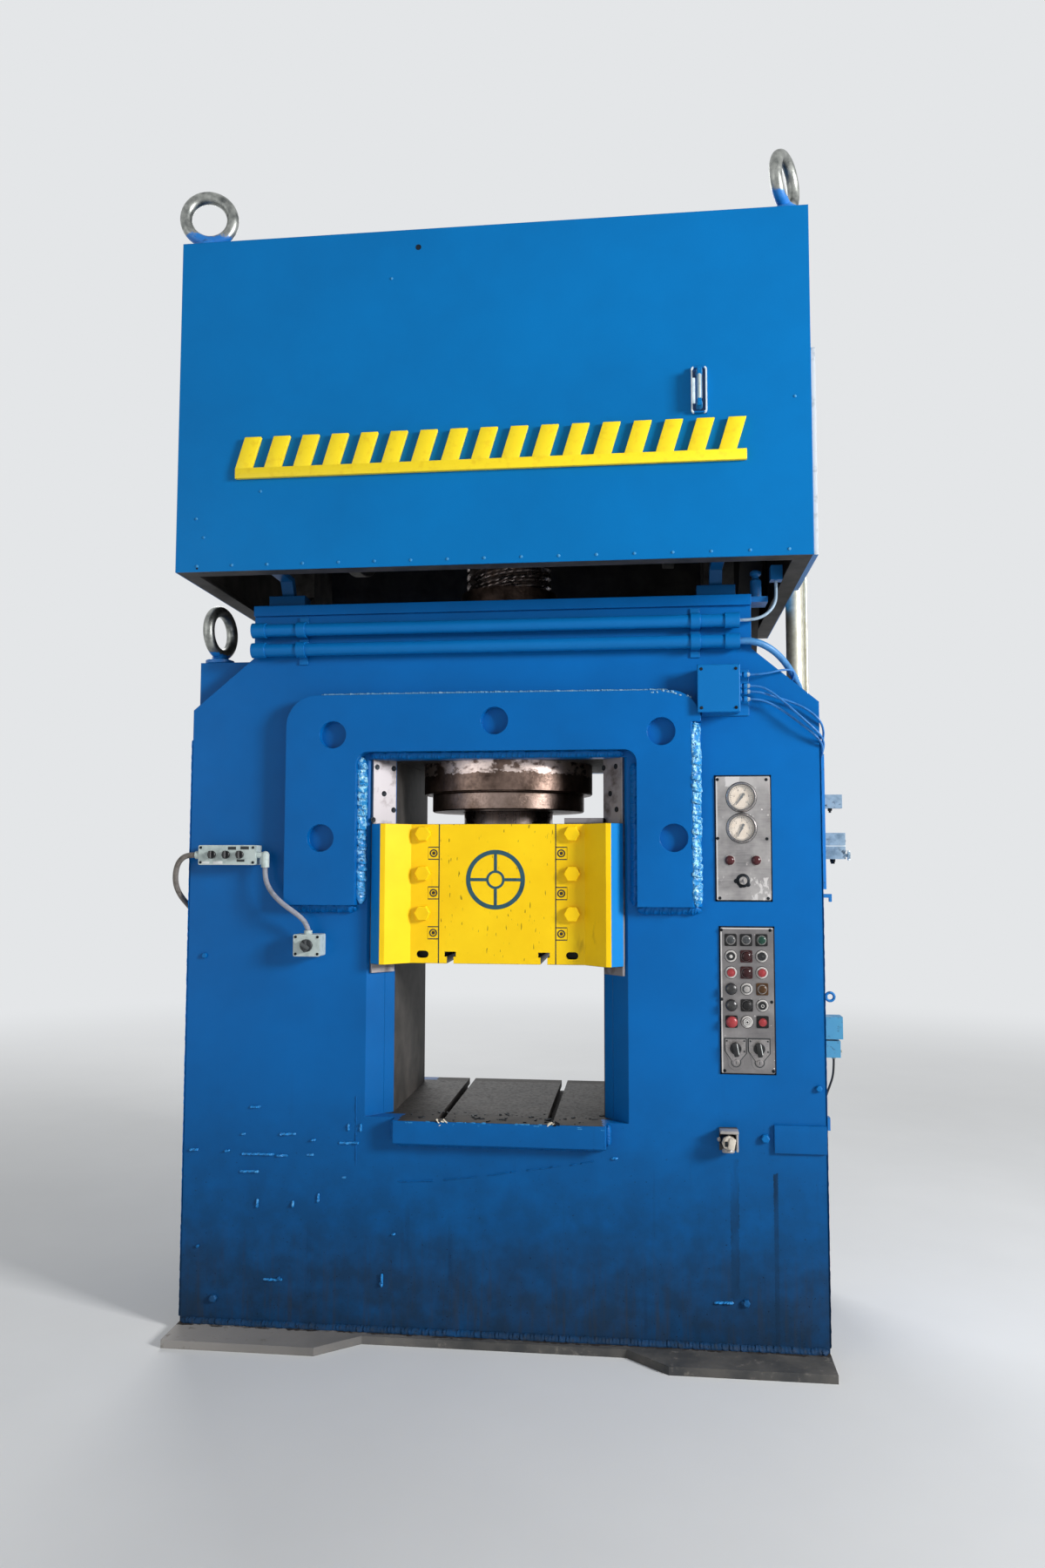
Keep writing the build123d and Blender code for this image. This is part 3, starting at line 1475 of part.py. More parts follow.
def make_air_bowl():
    """The air filter bowl on its shelf beside the crown."""
    half = bowl_shelf_depth / 2
    shelf_z = (frame_height - bowl_shelf_thickness, frame_height)
    shelf = block((neck_half, neck_half + bowl_shelf_reach), (bowl_y - half, bowl_y + half), shelf_z)
    wide = bowl_diameter / 2
    neck = bowl_neck_diameter / 2
    top = bowl_height
    bowl = turned([
        (0, 0), (wide, 0), (wide, top - 34), (neck, top - 28), (neck, top - 20), (wide, top - 14),
        (wide, top - 6), (wide - 6, top), (0, top),
    ])
    return shelf + Pos(bowl_x, bowl_y, frame_height) * bowl


hose_entry = (978.0, -228.0)
cable_entry = (930.0, -214.0)
feed_entry = (-half_width - 20, -200.0, 1285.0)
limit_entry_z = 690.0
entry_top = shoulder_height + entry_gland_height
gland_x = junction_x + junction_width / 2 - 2 + gland_length
gland_y = -357.0


def drape(start, steps, end):
    """The points of a cord: each step between its ends gives X, Y and its share of the drop."""
    drop = end[2] - start[2]
    return [start] + [(x, y, start[2] + share * drop) for x, y, share in steps] + [end]


def side_drape(start, steps, end):
    """As drape, with X measured outwards from the frame's side wall."""
    side = math.copysign(1, end[0])
    return drape(start, [(side * (half_width + x), y, share) for x, y, share in steps], end)


# Routes of the cords. The first and last points lie on the pieces that hold them.
box_gland_y = front - 45
switch_conduit_route = drape(
    (elbow_x(), box_gland_y, conduit_start_z()),
    [
        (elbow_x(), box_gland_y, 0.119), (-740, -374, 0.254), (-724, -381, 0.378), (-700, -388, 0.498),
        (-673, -392, 0.602), (-645, -391, 0.697), (-621, -385, 0.791), (-606, -376, 0.896),
    ],
    (small_box_x, box_gland_y, small_box_z + small_box_height / 2 + 12))
feed_conduit_route = side_drape(
    (switch_box_x - switch_box_width / 2 - 14, box_gland_y, switch_box_z),
    [
        (-16, box_gland_y, 0.0), (6, -368, 0.030), (24, -363, 0.103), (35, -356, 0.206), (41, -347, 0.322),
        (43, -334, 0.433), (41, -315, 0.536), (37, -291, 0.627), (31, -263, 0.712), (25, -236, 0.803), (21, -213, 0.901),
    ],
    feed_entry)
lower_hose_route = drape(
    (pipe_right, pipe_middle_y(), pipe_lower_height),
    [
        (800, pipe_middle_y(), 0.0), (832, -350, 0.027), (864, -339, 0.098), (893, -322, 0.196), (918, -302, 0.315),
        (939, -280, 0.446), (957, -258, 0.571), (970, -241, 0.701), (976, -231, 0.826),
        (hose_entry[0], hose_entry[1], 0.924),
    ],
    (hose_entry[0], hose_entry[1], entry_top))
upper_hose_route = drape(
    (pipe_right, pipe_middle_y(), pipe_upper_height),
    [
        (800, pipe_middle_y(), 0.0), (832, -353, 0.030), (860, -349, 0.134), (880, -341, 0.299), (891, -329, 0.493),
        (894, -317, 0.679), (hose_block_x, hose_block_y, 0.851),
    ],
    (hose_block_x, hose_block_y, casing_foot))
top_cable_route = drape(
    (gland_x, gland_y, gland_heights()[0]),
    [
        (832, gland_y, 0.0), (866, -356, -0.066), (898, -350, -0.171), (926, -337, -0.224), (943, -317, -0.224),
        (949, -294, -0.132), (947, -270, 0.039), (940, -246, 0.250), (934, -227, 0.487),
        (cable_entry[0], cable_entry[1], 0.750),
    ],
    (cable_entry[0], cable_entry[1], entry_top))
second_cable_route = drape(
    (gland_x, gland_y, gland_heights()[1]),
    [
        (828, gland_y, 0.0), (855, -360, 0.047), (883, -364, 0.147), (912, -367, 0.270), (941, -368, 0.398),
        (970, -367, 0.526), (997, -361, 0.640), (1018, -350, 0.735), (1030, -334, 0.810), (1034, -316, 0.882),
        (1033, -302, 0.948),
    ],
    (1031, -296, duct_top))
third_cable_route = drape(
    (gland_x, gland_y, gland_heights()[2]),
    [
        (828, gland_y, 0.0), (856, -352, 0.041), (886, -346, 0.088), (918, -342, 0.140), (950, -340, 0.202),
        (980, -340, 0.285), (1006, -339, 0.389), (1025, -333, 0.508), (1034, -318, 0.632), (1035, -299, 0.756),
        (1032, -281, 0.881),
    ],
    (1028, -270, duct_top))
fourth_cable_route = drape(
    (gland_x, gland_y, gland_heights()[3]),
    [
        (828, gland_y, 0.0), (856, -355, 0.045), (885, -353, 0.129), (913, -352, 0.236), (942, -352, 0.360),
        (970, -352, 0.489), (995, -350, 0.601), (1015, -344, 0.708), (1027, -332, 0.803), (1030, -318, 0.910),
    ],
    (1028, duct_y - duct_depth / 2, duct_top - 9))
limit_cable_route = side_drape(
    (half_width + 50, side_item_y, limit_switch_z - limit_switch_height / 2),
    [
        (50, side_item_y, 0.168), (46, side_item_y, 0.342), (35, side_item_y, 0.505), (23, side_item_y, 0.663),
        (17, side_item_y, 0.832),
    ],
    (half_width + 17, side_item_y, limit_entry_z))


def cord(route, diameter):
    """A cord as straight runs joined by arcs as large as the runs allow."""
    points = [Vector(*point) for point in route]
    radii = []
    for before, here, after in zip(points, points[1:], points[2:]):
        turn = math.radians((here - before).get_angle(after - here))
        shorter = min((here - before).length, (after - here).length)
        radii.append(0.45 * shorter / math.tan(turn / 2))
    path = FilletPolyline(*points, radius=radii)
    section = Plane(origin=points[0], z_dir=points[1] - points[0]) * Circle(diameter / 2)
    solid = sweep(section, path=path)
    share = solid.volume / (math.pi * diameter ** 2 / 4 * path.length)
    print("cord %.0f mm, radii %.0f to %.0f, length %.0f, volume share %.4f"
          % (diameter, min(radii), max(radii), path.length, share))
    return solid


def frame_nodes():
    column = make_column()
    save("base_plate", make_base_plate())
    save("frame_front_plate", make_front_plate())
    save("frame_rear_plate", make_rear_plate())
    save("frame_column_right", column)
    save("frame_column_left", mirror(column, about=Plane.YZ) + make_shoulder_block())
    save("crown_block", make_crown())
    save("bed_block", make_bed())
    save("yoke_plate", make_yoke())
    save("guide_rails", *front_and_rear(both_sides(make_rail())))


def drive_nodes():
    cheek = make_cheek()
    save("ram_block", make_ram_block())
    save("ram_cheek_right", cheek)
    save("ram_cheek_left", mirror(cheek, about=Plane.YZ))
    save("ram_bolts", *make_ram_fasteners())
    save("screw_spindle", make_screw())
    save("screw_nut", make_nut())
    save("nut_retaining_ring", make_nut_ring())
    save("flywheel", make_flywheel())
    save("friction_lining", make_lining())
    save("drive_shaft", make_shaft())
    save("shift_piston", make_piston())
    save("friction_discs", *both_sides(make_disc()))
    save("shaft_pulley", make_shaft_pulley())
    save("bearing_standards", *both_sides(make_standard()), make_shift_cylinder())
    save("motor", make_motor())
    save("motor_pulley", make_motor_pulley())
    save("drive_belt", make_belt())


def casing_nodes():
    save("casing_shell", make_casing_shell())
    save("casing_front_panel", make_casing_front())
    save("casing_frame", make_casing_frame())
    save("eye_bolts", *make_eyes())


def fitting_nodes():
    save("air_pipes", *make_air_pipes())
    save("riser_pipes", *make_risers())
    save("junction_box", make_junction_box())
    save("switch_boxes", *make_switch_boxes())
    save("side_fittings", *make_side_fittings())
    save("switch_conduits", cord(switch_conduit_route, conduit_cord_diameter), cord(feed_conduit_route, feed_cord_diameter))
    hoses = [cord(lower_hose_route, lower_hose_diameter), cord(upper_hose_route, upper_hose_diameter)]
    routes = (top_cable_route, second_cable_route, third_cable_route, fourth_cable_route, limit_cable_route)
    cables = [cord(route, cable_diameter) for route in routes]
    save("hoses_and_cables", *hoses, *cables)


def panel_nodes():
    save("gauge_panel", make_gauge_panel())
    save("button_panel", make_button_panel())
    save("panel_lenses", *make_lenses())
    save("gauge_pointer_upper", make_pointer(gauge_upper_z, pointer_upper_angle))
    save("gauge_pointer_lower", make_pointer(gauge_lower_z, pointer_lower_angle))
    save("key_switch", make_key())
    for name, column, row, kind in button_places():
        x, z = grid_place(column, row)
        save(name, make_button(kind, x, z))
    selector_face = front - panel_thickness - selector_plate_thickness
    for name, side in (("selector_left", -1), ("selector_right", 1)):
        x = button_middle_x + side * selector_spacing / 2
        save(name, make_knob(x, selector_face, selector_z, knob_diameter))
    for name, x in zip(("box_knob_left", "box_knob_middle", "box_knob_right"), switch_knob_places):
        save(name, make_knob(x, front - switch_box_depth, switch_knob_z, knob_diameter))
    save("small_box_knob", make_knob(small_box_x, front - small_box_depth, small_box_z, small_knob_diameter))


frame_nodes()
drive_nodes()
casing_nodes()
fitting_nodes()
panel_nodes()
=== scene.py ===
# Finishes and small fittings of a friction screw press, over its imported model.
# Sizes are in millimetres and turn into metres where they enter Blender.
import math
import random
from itertools import product

import bmesh
import bpy
from mathutils import Matrix, Vector


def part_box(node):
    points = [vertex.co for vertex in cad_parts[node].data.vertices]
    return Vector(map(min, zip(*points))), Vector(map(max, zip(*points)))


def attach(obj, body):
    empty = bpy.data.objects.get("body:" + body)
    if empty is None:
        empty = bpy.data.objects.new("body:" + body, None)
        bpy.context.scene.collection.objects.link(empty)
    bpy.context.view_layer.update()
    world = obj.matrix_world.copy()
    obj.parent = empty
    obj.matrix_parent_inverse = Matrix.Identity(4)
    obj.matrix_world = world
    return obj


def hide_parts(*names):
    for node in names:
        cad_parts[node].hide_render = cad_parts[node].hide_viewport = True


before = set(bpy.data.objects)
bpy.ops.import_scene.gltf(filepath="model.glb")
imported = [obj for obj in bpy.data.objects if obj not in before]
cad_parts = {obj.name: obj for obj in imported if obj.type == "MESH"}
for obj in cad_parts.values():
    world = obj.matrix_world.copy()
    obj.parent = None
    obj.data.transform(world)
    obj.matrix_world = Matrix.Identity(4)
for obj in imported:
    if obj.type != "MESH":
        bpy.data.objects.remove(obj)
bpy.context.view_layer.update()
scene = bpy.context.scene
MM = 0.001
FRONT, BACK, RIGHT, UP, DOWN = (0, -1, 0), (0, 1, 0), (1, 0, 0), (0, 0, 1), (0, 0, -1)


def corners(node):
    """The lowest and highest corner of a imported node, in millimetres."""
    low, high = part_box(node)
    return low / MM, high / MM


def new_object(name, data):
    """An object of this data, in the scene."""
    made = bpy.data.objects.new(name, data)
    scene.collection.objects.link(made)
    return made


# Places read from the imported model
yoke_low, yoke_high = corners("yoke_plate")
casing_high = corners("casing_front_panel")[1]
casing_depth = corners("casing_shell")[1].y
gauge_low, gauge_high = corners("gauge_panel")
buttons_low, buttons_high = corners("button_panel")
ram_low, ram_high = corners("ram_block")
base_high = corners("base_plate")[1]
half_width = base_high.x
# Faces that the fittings stand on
front = -325.0
panel_face = front - 6.0
yoke_face = yoke_low.y
casing_face = -605.0
ram_face = front + 29.0
window_sill = 686.0
# The middles of the two gauges, of the two selectors, and of the key switch
gauge_x, gauge_levels = 776.0, (1701.0, 1604.0)
selector_places, selector_z = {"selector_left": 749.2, "selector_right": 820.8}, 925.0
key_switch = Vector((778, panel_face, 1440.5))


# Camera, standing where the photographer stood
camera_data = bpy.data.cameras.new("camera")
camera_data.sensor_fit = "VERTICAL"
camera_data.sensor_height = 36.0
camera_data.lens = 25.0
camera = new_object("camera", camera_data)
camera.location = (0.474, -3.792, 1.50)
camera.rotation_euler = [math.radians(angle) for angle in (94.05, -0.10, 6.386)]
scene.camera = camera


# Colours and nodes. The Mix node keeps its colours at these places.
FACTOR, FIRST, SECOND, MIXED = 0, 6, 7, 2
finishes = {}


def colour(code):
    """A colour written as sRGB hex, turned to linear."""
    parts = [int(code[i:i + 2], 16) / 255 for i in (1, 3, 5)]
    linear = [p / 12.92 if p <= 0.04045 else ((p + 0.055) / 1.055) ** 2.4 for p in parts]
    return (*linear, 1.0)


class Nodes:
    """A node tree that grows node by node."""

    def __init__(self, tree):
        self.tree = tree

    def add(self, kind, output, inputs=None, **settings):
        """Adds one node and gives back an output. An input is a value, a hex colour or another output."""
        made = self.tree.nodes.new("ShaderNode" + kind)
        for name, value in settings.items():
            setattr(made, name, value)
        for name, value in (inputs or {}).items():
            if isinstance(value, bpy.types.NodeSocket):
                self.tree.links.new(value, made.inputs[name])
            else:
                made.inputs[name].default_value = colour(value) if isinstance(value, str) else value
        return made.outputs[output]


class Finish(Nodes):
    """A material that is built up from masks and coats of colour, placed by the piece's own coordinates."""

    def __init__(self, name, roughness, metallic=0.0, ior=1.5, specular=0.5, gloss_coat=0.0):
        material = bpy.data.materials.new(name)
        material.use_nodes = True
        finishes[name] = material
        super().__init__(material.node_tree)
        self.shader = self.tree.nodes["Principled BSDF"]
        values = {
            "Roughness": roughness, "Metallic": metallic,
            "Specular IOR Level": specular, "Coat Weight": gloss_coat}
        if not metallic:
            values["IOR"] = ior
        for socket, value in values.items():
            self.shader.inputs[socket].default_value = value
        self.place = self.add("TexCoord", "Object")

    def patches(self, width, low, high, stretch=(1, 1, 1), turn=(0, 0, 0), detail=4.0):
        """A mask of soft patches about as wide as given in millimetres."""
        laid = self.add("Mapping", "Vector", {"Vector": self.place, "Scale": stretch, "Rotation": turn})
        field = self.add("TexNoise", "Fac", {
            "Vector": laid, "Scale": 1 / (width * MM), "Detail": detail, "Roughness": 0.6})
        return self.add("MapRange", "Result", {"Value": field, "From Min": low, "From Max": high})

    def band(self, axis, low, high, mirrored=False, ragged=0.0):
        """A mask between two limits in millimetres along an axis, on both sides of the middle if mirrored."""
        value = self.add("SeparateXYZ", axis, {"Vector": self.place})
        if mirrored:
            value = self.add("Math", 0, {0: value}, operation="ABSOLUTE")
        if ragged:
            stray = self.add("TexNoise", "Fac", {
                "Vector": self.place, "Scale": 0.5 / (ragged * MM), "Detail": 4.0})
            centred = self.add("Math", 0, {0: stray, 1: 0.5}, operation="SUBTRACT")
            value = self.add("Math", 0, {0: centred, 1: 3 * ragged * MM, 2: value}, operation="MULTIPLY_ADD")
        middle, half = (low + high) / 2 * MM, (high - low) / 2 * MM
        return self.add("Math", 0, {0: value, 1: middle, 2: half}, operation="COMPARE")

    def where_all(self, *masks):
        """A mask that holds only where all of these hold."""
        joined = masks[0]
        for mask in masks[1:]:
            joined = self.add("Math", 0, {0: joined, 1: mask}, operation="MULTIPLY")
        return joined

    def where_any(self, first, second):
        """A mask that holds where one of these holds."""
        return self.add("Math", 0, {0: first, 1: second}, operation="MAXIMUM")

    def coats(self, tone, *layers):
        """Lays colours over the first one, each where its mask holds."""
        for mask, coat in layers:
            tone = self.add("Mix", MIXED, {FACTOR: mask, FIRST: tone, SECOND: coat}, data_type="RGBA")
        return tone

    def end(self, tone, *layers, worn=None, edge=0.0):
        """Gives the shader its colour, a gloss that follows a mask, and a relief over rounded edges.

        Each layer of the relief is a mask and its height in millimetres.
        """
        self.tree.links.new(tone, self.shader.inputs["Base Color"])
        if worn:
            mask, smooth, rough = worn
            gloss = self.add("MapRange", "Result", {"Value": mask, "To Min": smooth, "To Max": rough})
            self.tree.links.new(gloss, self.shader.inputs["Roughness"])
        normal = self.add("Bevel", "Normal", {"Radius": edge * MM}, samples=4) if edge else None
        for mask, height in layers:
            inputs = {"Height": mask, "Distance": height * MM, "Strength": 1.0}
            if normal:
                inputs["Normal"] = normal
            normal = self.add("Bump", "Normal", inputs)
        if normal:
            self.tree.links.new(normal, self.shader.inputs["Normal"])


# Paints
def blue_enamel(name, clean, faded, soiled, soil_top, oil_and_shade_mask=None, stains=()):
    """Alkyd enamel brushed over filled steel plate: it shines in slow waves and gets dirty low down."""
    finish = Finish(name, 0.36, ior=1.48, specular=0.16)
    height = finish.add("SeparateXYZ", "Z", {"Vector": finish.place})
    low = finish.add("MapRange", "Result", {
        "Value": height, "From Min": 0.0, "From Max": soil_top * MM, "To Min": 1.0, "To Max": 0.0,
    }, interpolation_type="SMOOTHSTEP")
    trodden = finish.add("MapRange", "Result", {
        "Value": height, "From Min": 0.03, "From Max": 0.36, "To Min": 1.0, "To Max": 0.0})
    dull = finish.where_all(low, finish.patches(70, -0.3, 0.62))
    streak = finish.patches(40, 0.62, 0.95, stretch=(1, 1, 0.07))
    mud = finish.patches(150, 0.22, 0.95, detail=7.0)
    drip = finish.patches(14, 0.50, 0.85, stretch=(1, 1, 0.05))
    layers = [
        (finish.patches(520, 0.35, 0.68), faded), (dull, soiled), (finish.where_all(streak, low), "#0B2036"),
        (finish.where_all(mud, trodden), "#222A33"), (finish.where_all(drip, trodden), "#2E3338"),
    ]
    for x, width, foot, top in stains:
        stain = finish.where_all(
            finish.band("X", x - width / 2, x + width / 2, ragged=width / 5),
            finish.band("Z", foot, top, ragged=30), finish.band("Y", 2 * front, 0),
            finish.patches(60, 0.30, 0.80, stretch=(1, 1, 0.25)))
        layers.append((stain, "#0C2233"))
    layers.append((finish.where_all(finish.patches(9, 0.68, 0.73, detail=2.0), low), "#0A1A28"))
    # Over the mask lies a dark grey: oil in the window and on the table's edge, painted shade inside the
    # casing and in the T-slot ends
    if oil_and_shade_mask:
        oil_and_shade = oil_and_shade_mask(finish)
        layers.append((oil_and_shade, finish.coats("#343230", (finish.patches(80, 0.35, 0.7), "#4B4744"))))
        dull = finish.where_any(dull, oil_and_shade)
    peel = finish.patches(6, 0.2, 0.8, detail=1.0)
    waves = finish.patches(140, 0.2, 0.8, detail=1.0)
    finish.end(finish.coats(clean, *layers), (waves, 0.9), (peel, 0.08), worn=(dull, 0.34, 0.62), edge=3.0)


# Where the blue has gone under oil and dirt, and where the same dark grey is painted shade
def window_walls(finish):
    return finish.band("X", 0, 344, mirrored=True)


def table_edge(finish):
    level = finish.band("Z", window_sill - 0.8, window_sill + 1)
    # The insides of the T-slot ends are dark from oil and from painted shade in the recess
    slots = finish.where_all(
        finish.band("X", 153, 193, mirrored=True), finish.band("Z", 646, window_sill + 1),
        finish.band("Y", 0, -front - 1, mirrored=True))
    return finish.where_any(finish.where_all(level, finish.band("X", -300, 335, ragged=14)), slots)


def casing_inside(finish):
    # The whole inside of the casing gets the dark grey: painted shade
    sheet = 3
    return finish.where_all(
        finish.band("X", 0, casing_high.x - sheet, mirrored=True),
        finish.band("Y", 0, casing_depth - sheet, mirrored=True), finish.band("Z", 0, casing_high.z - sheet))


def all_but_struts(finish):
    # All of the casing frame but its struts lies inside the casing and gets the dark grey: painted shade
    strut = finish.where_all(
        finish.band("X", 640, 770, mirrored=True), finish.band("Y", 255, 546, mirrored=True))
    return finish.add("Math", 0, {0: 1.0, 1: strut}, operation="SUBTRACT")


def weld_enamel():
    """Hand-laid weld under one coat of enamel: the pale crests are painted highlight where the light would
    catch them, the dark pits painted shade.
    """
    finish = Finish("weld_enamel", 0.3, ior=1.48, specular=0.4)
    # The painted highlight on the bead at the window's left fades out on its way down
    height = finish.add("SeparateXYZ", "Z", {"Vector": finish.place})
    highlight_fade = finish.add("MapRange", "Result", {
        "Value": height, "From Min": (yoke_low.z + 20) * MM, "From Max": 1.70, "To Min": 0.25, "To Max": 1.0})
    highlight_kept = finish.where_any(highlight_fade, finish.band("X", 0, half_width))
    crest = finish.where_all(finish.patches(11, 0.49, 0.57, stretch=(1, 1, 0.8), detail=3.0), highlight_kept)
    pit = finish.patches(7, 0.62, 0.67, detail=2.0)
    tone = finish.coats(
        "#0F6FB4", (finish.patches(60, 0.3, 0.7), "#2C93CE"), (crest, "#8FCBE6"), (pit, "#0B3A63"))
    finish.end(tone, (crest, 1.2), (pit, -1.0), worn=(pit, 0.28, 0.6))


def yellow_enamel():
    """Safety yellow enamel on the machined ram: even and glossy, with slanting knocks down to the primer."""
    finish = Finish("yellow_enamel", 0.38, ior=1.48, specular=0.2)
    knocks = finish.where_all(
        finish.patches(8, 0.68, 0.705, stretch=(1, 1, 0.22), turn=(0, 0.5, 0), detail=1.0),
        finish.patches(170, 0.40, 0.52), finish.band("X", 0, 188, mirrored=True))
    tips = finish.where_all(
        finish.band("X", 369.6, 420, mirrored=True), finish.band("Y", 296, 367, mirrored=True))
    # Near-black inside the slots and ovals and on the ram's under and top faces: painted shade
    behind = finish.band("Y", 0, -ram_face - 1.5, mirrored=True)
    slot_sides = finish.where_all(
        finish.band("X", 132, 172, mirrored=True), finish.band("Z", 1169, 1209), behind)
    ovals = finish.where_all(finish.band("X", 221, 264, mirrored=True), finish.band("Z", 1185, 1213), behind)
    underside = finish.band("Z", ram_low.z - 1, ram_low.z + 0.8)
    topside = finish.band("Z", ram_high.z - 0.8, ram_high.z + 1)
    tone = finish.coats(
        "#FFD516", (finish.patches(260, 0.35, 0.7), "#F5C70C"), (knocks, "#9A7E10"),
        (finish.patches(90, 0.66, 0.8, stretch=(1, 1, 0.3)), "#B98F12"), (tips, "#0F7CC4"),
        *((dark, "#1D1A14") for dark in (slot_sides, ovals, underside, topside)))
    peel = finish.patches(5, 0.2, 0.8, detail=1.0)
    finish.end(tone, (knocks, -0.5), (peel, 0.06), worn=(knocks, 0.36, 0.7), edge=2.0)


def box_enamel(name, tone, dirt_tone, roughness=0.42):
    """Stoved enamel on a small cast or pressed box: smooth, with finger dirt round its corners."""
    finish = Finish(name, roughness, specular=0.4)
    dirt = finish.patches(28, 0.52, 0.78)
    peel = finish.patches(2.2, 0.2, 0.8, detail=1.0)
    tone = finish.coats(tone, (dirt, dirt_tone))
    finish.end(tone, (peel, 0.05), worn=(dirt, roughness, roughness + 0.2), edge=1.2)


def side_enamel():
    """Boxes on the side wall: grey-blue stoved enamel above, a later coat of the press's blue below."""
    finish = Finish("side_enamel", 0.42, specular=0.3)
    dirt = finish.patches(34, 0.48, 0.74)
    grime = finish.patches(22, 0.60, 0.70)
    lower, limit_case, upper = (
        finish.band("Z", low, high) for low, high in ((0, 1430), (878, 1012), (1990, 2600)))
    duct = finish.where_all(finish.band("Y", -310, -250), finish.band("Z", 1400, 1850))
    coupling = finish.band("Y", -400, front - 0.1)
    tone = finish.coats(
        "#8FA6B8", (dirt, "#5F788C"), (lower, "#1F74B4"), (limit_case, "#4F95B8"), (duct, "#1478C4"),
        (coupling, "#45403A"), (upper, "#12609E"), (grime, "#2B3A48"))
    peel = finish.patches(2.2, 0.2, 0.8, detail=1.0)
    finish.end(tone, (peel, 0.05), (grime, -0.2), worn=(dirt, 0.4, 0.62))


# Metals
def ground_steel(name, tone, oil_tone, grind=(1, 1, 14), roughness=0.34):
    """Ground or turned steel: fine grinding lines, with dried oil in patches."""
    finish = Finish(name, roughness, metallic=1.0)
    oil = finish.patches(55, 0.50, 0.72)
    lines = finish.patches(3, 0.3, 0.7, stretch=grind, detail=2.0)
    tone = finish.coats(tone, (lines, "#8E8A8C"), (oil, oil_tone))
    finish.end(tone, (lines, 0.03), (oil, 0.05), worn=(oil, roughness, 0.55))


def cast_metal(name, tone, dark_tone, roughness=0.5, grain=7.0, rubbed=None, metallic=1.0):
    """Cast and rough-turned metal under old oil: brown-black in the hollows, rubbed bright on the rim."""
    finish = Finish(name, roughness, metallic=metallic)
    speck = finish.patches(grain, 0.45, 0.75)
    tone = finish.coats(tone, (finish.patches(70, 0.35, 0.7), dark_tone))
    if rubbed:
        rim = finish.where_all(
            finish.band("Z", *rubbed, ragged=9), finish.patches(45, 0.40, 0.52, stretch=(1, 1, 1.6)))
        tone = finish.coats(tone, (rim, "#D8C6BE"))
    finish.end(tone, (speck, 0.25), worn=(speck, roughness, roughness + 0.22))


def brushed_sheet():
    """Brushed stainless sheet: fine level lines, a cool grey that picks up the room, with dried splashes."""
    finish = Finish("brushed_sheet", 0.42, metallic=1.0)
    lines = finish.patches(2.5, 0.3, 0.7, stretch=(0.04, 1, 1), detail=2.0)
    splash = finish.patches(16, 0.68, 0.70, detail=5.0)
    # White scraps of the protective film, along the top of the gauge panel and peeled at its foot
    film_top = finish.where_all(finish.band("Z", 1734, 1766, ragged=3), finish.band("X", 728, 771, ragged=4))
    film_foot = finish.where_all(
        finish.band("X", 802, 860, ragged=6), finish.band("Z", 1380, 1452, ragged=6),
        finish.patches(15, 0.50, 0.56, turn=(0, 0.8, 0), stretch=(1, 1, 0.6)))
    # A painted highlight along the rolled edge of each sheet
    beside_buttons, beside_gauges = (840, 1310), (1370, 1780)
    rims = [
        finish.where_all(finish.band("X", low.x - 1, low.x + 4), finish.band("Z", *levels))
        for low, levels in ((buttons_low, beside_buttons), (gauge_low, beside_gauges))]
    rims.append(finish.band("Z", buttons_high.z - 4, buttons_high.z + 1))
    # The lower sheet is darker, in patches
    lower_dark_patches = finish.where_all(finish.band("Z", *beside_buttons), finish.patches(90, -0.5, 1.1))
    tone = finish.coats(
        "#9C9998", (lines, "#8A8788"), (finish.patches(120, 0.35, 0.65), "#C2BEBC"), (lower_dark_patches, "#6E6B6C"),
        *((pale, "#DEDAD8") for pale in (splash, film_top, film_foot, *rims)))
    finish.end(tone, (lines, 0.02), (splash, 0.06), worn=(splash, 0.40, 0.75), edge=1.5)


def rolled_plate():
    """Hot-rolled base plate under trodden dirt: matt grey-black scale with rubbed and muddy patches."""
    finish = Finish("rolled_plate", 0.72, specular=0.3)
    mud = finish.patches(120, 0.38, 0.66)
    rub = finish.patches(30, 0.60, 0.74)
    across = finish.add("SeparateXYZ", "X", {"Vector": finish.place})
    dusty = finish.add("MapRange", "Result", {
        "Value": across, "From Min": -1.05, "From Max": -0.1, "To Min": 0.9, "To Max": 0.0})
    joint = finish.where_all(finish.band("Y", -350, 350, ragged=14), finish.patches(40, 0.3, 0.5))
    tone = finish.coats("#3F4041", (mud, "#5A5855"), (dusty, "#A39F9B"), (rub, "#77736D"), (joint, "#2B2623"))
    finish.end(tone, (mud, 0.8), (rub, 0.3), edge=3.0)


def galvanised_pipe():
    """Galvanised pipe that has gone cream and rusty: pale zinc bloom with brown runs."""
    finish = Finish("galvanised_pipe", 0.5, metallic=0.6)
    rust = finish.patches(120, 0.46, 0.68, stretch=(1, 1, 0.35))
    bloom = finish.patches(20, 0.35, 0.7)
    tone = finish.coats("#B8B5A2", (bloom, "#D3D2C4"), (rust, "#6B5743"))
    finish.end(tone, (bloom, 0.1), worn=(rust, 0.42, 0.8))


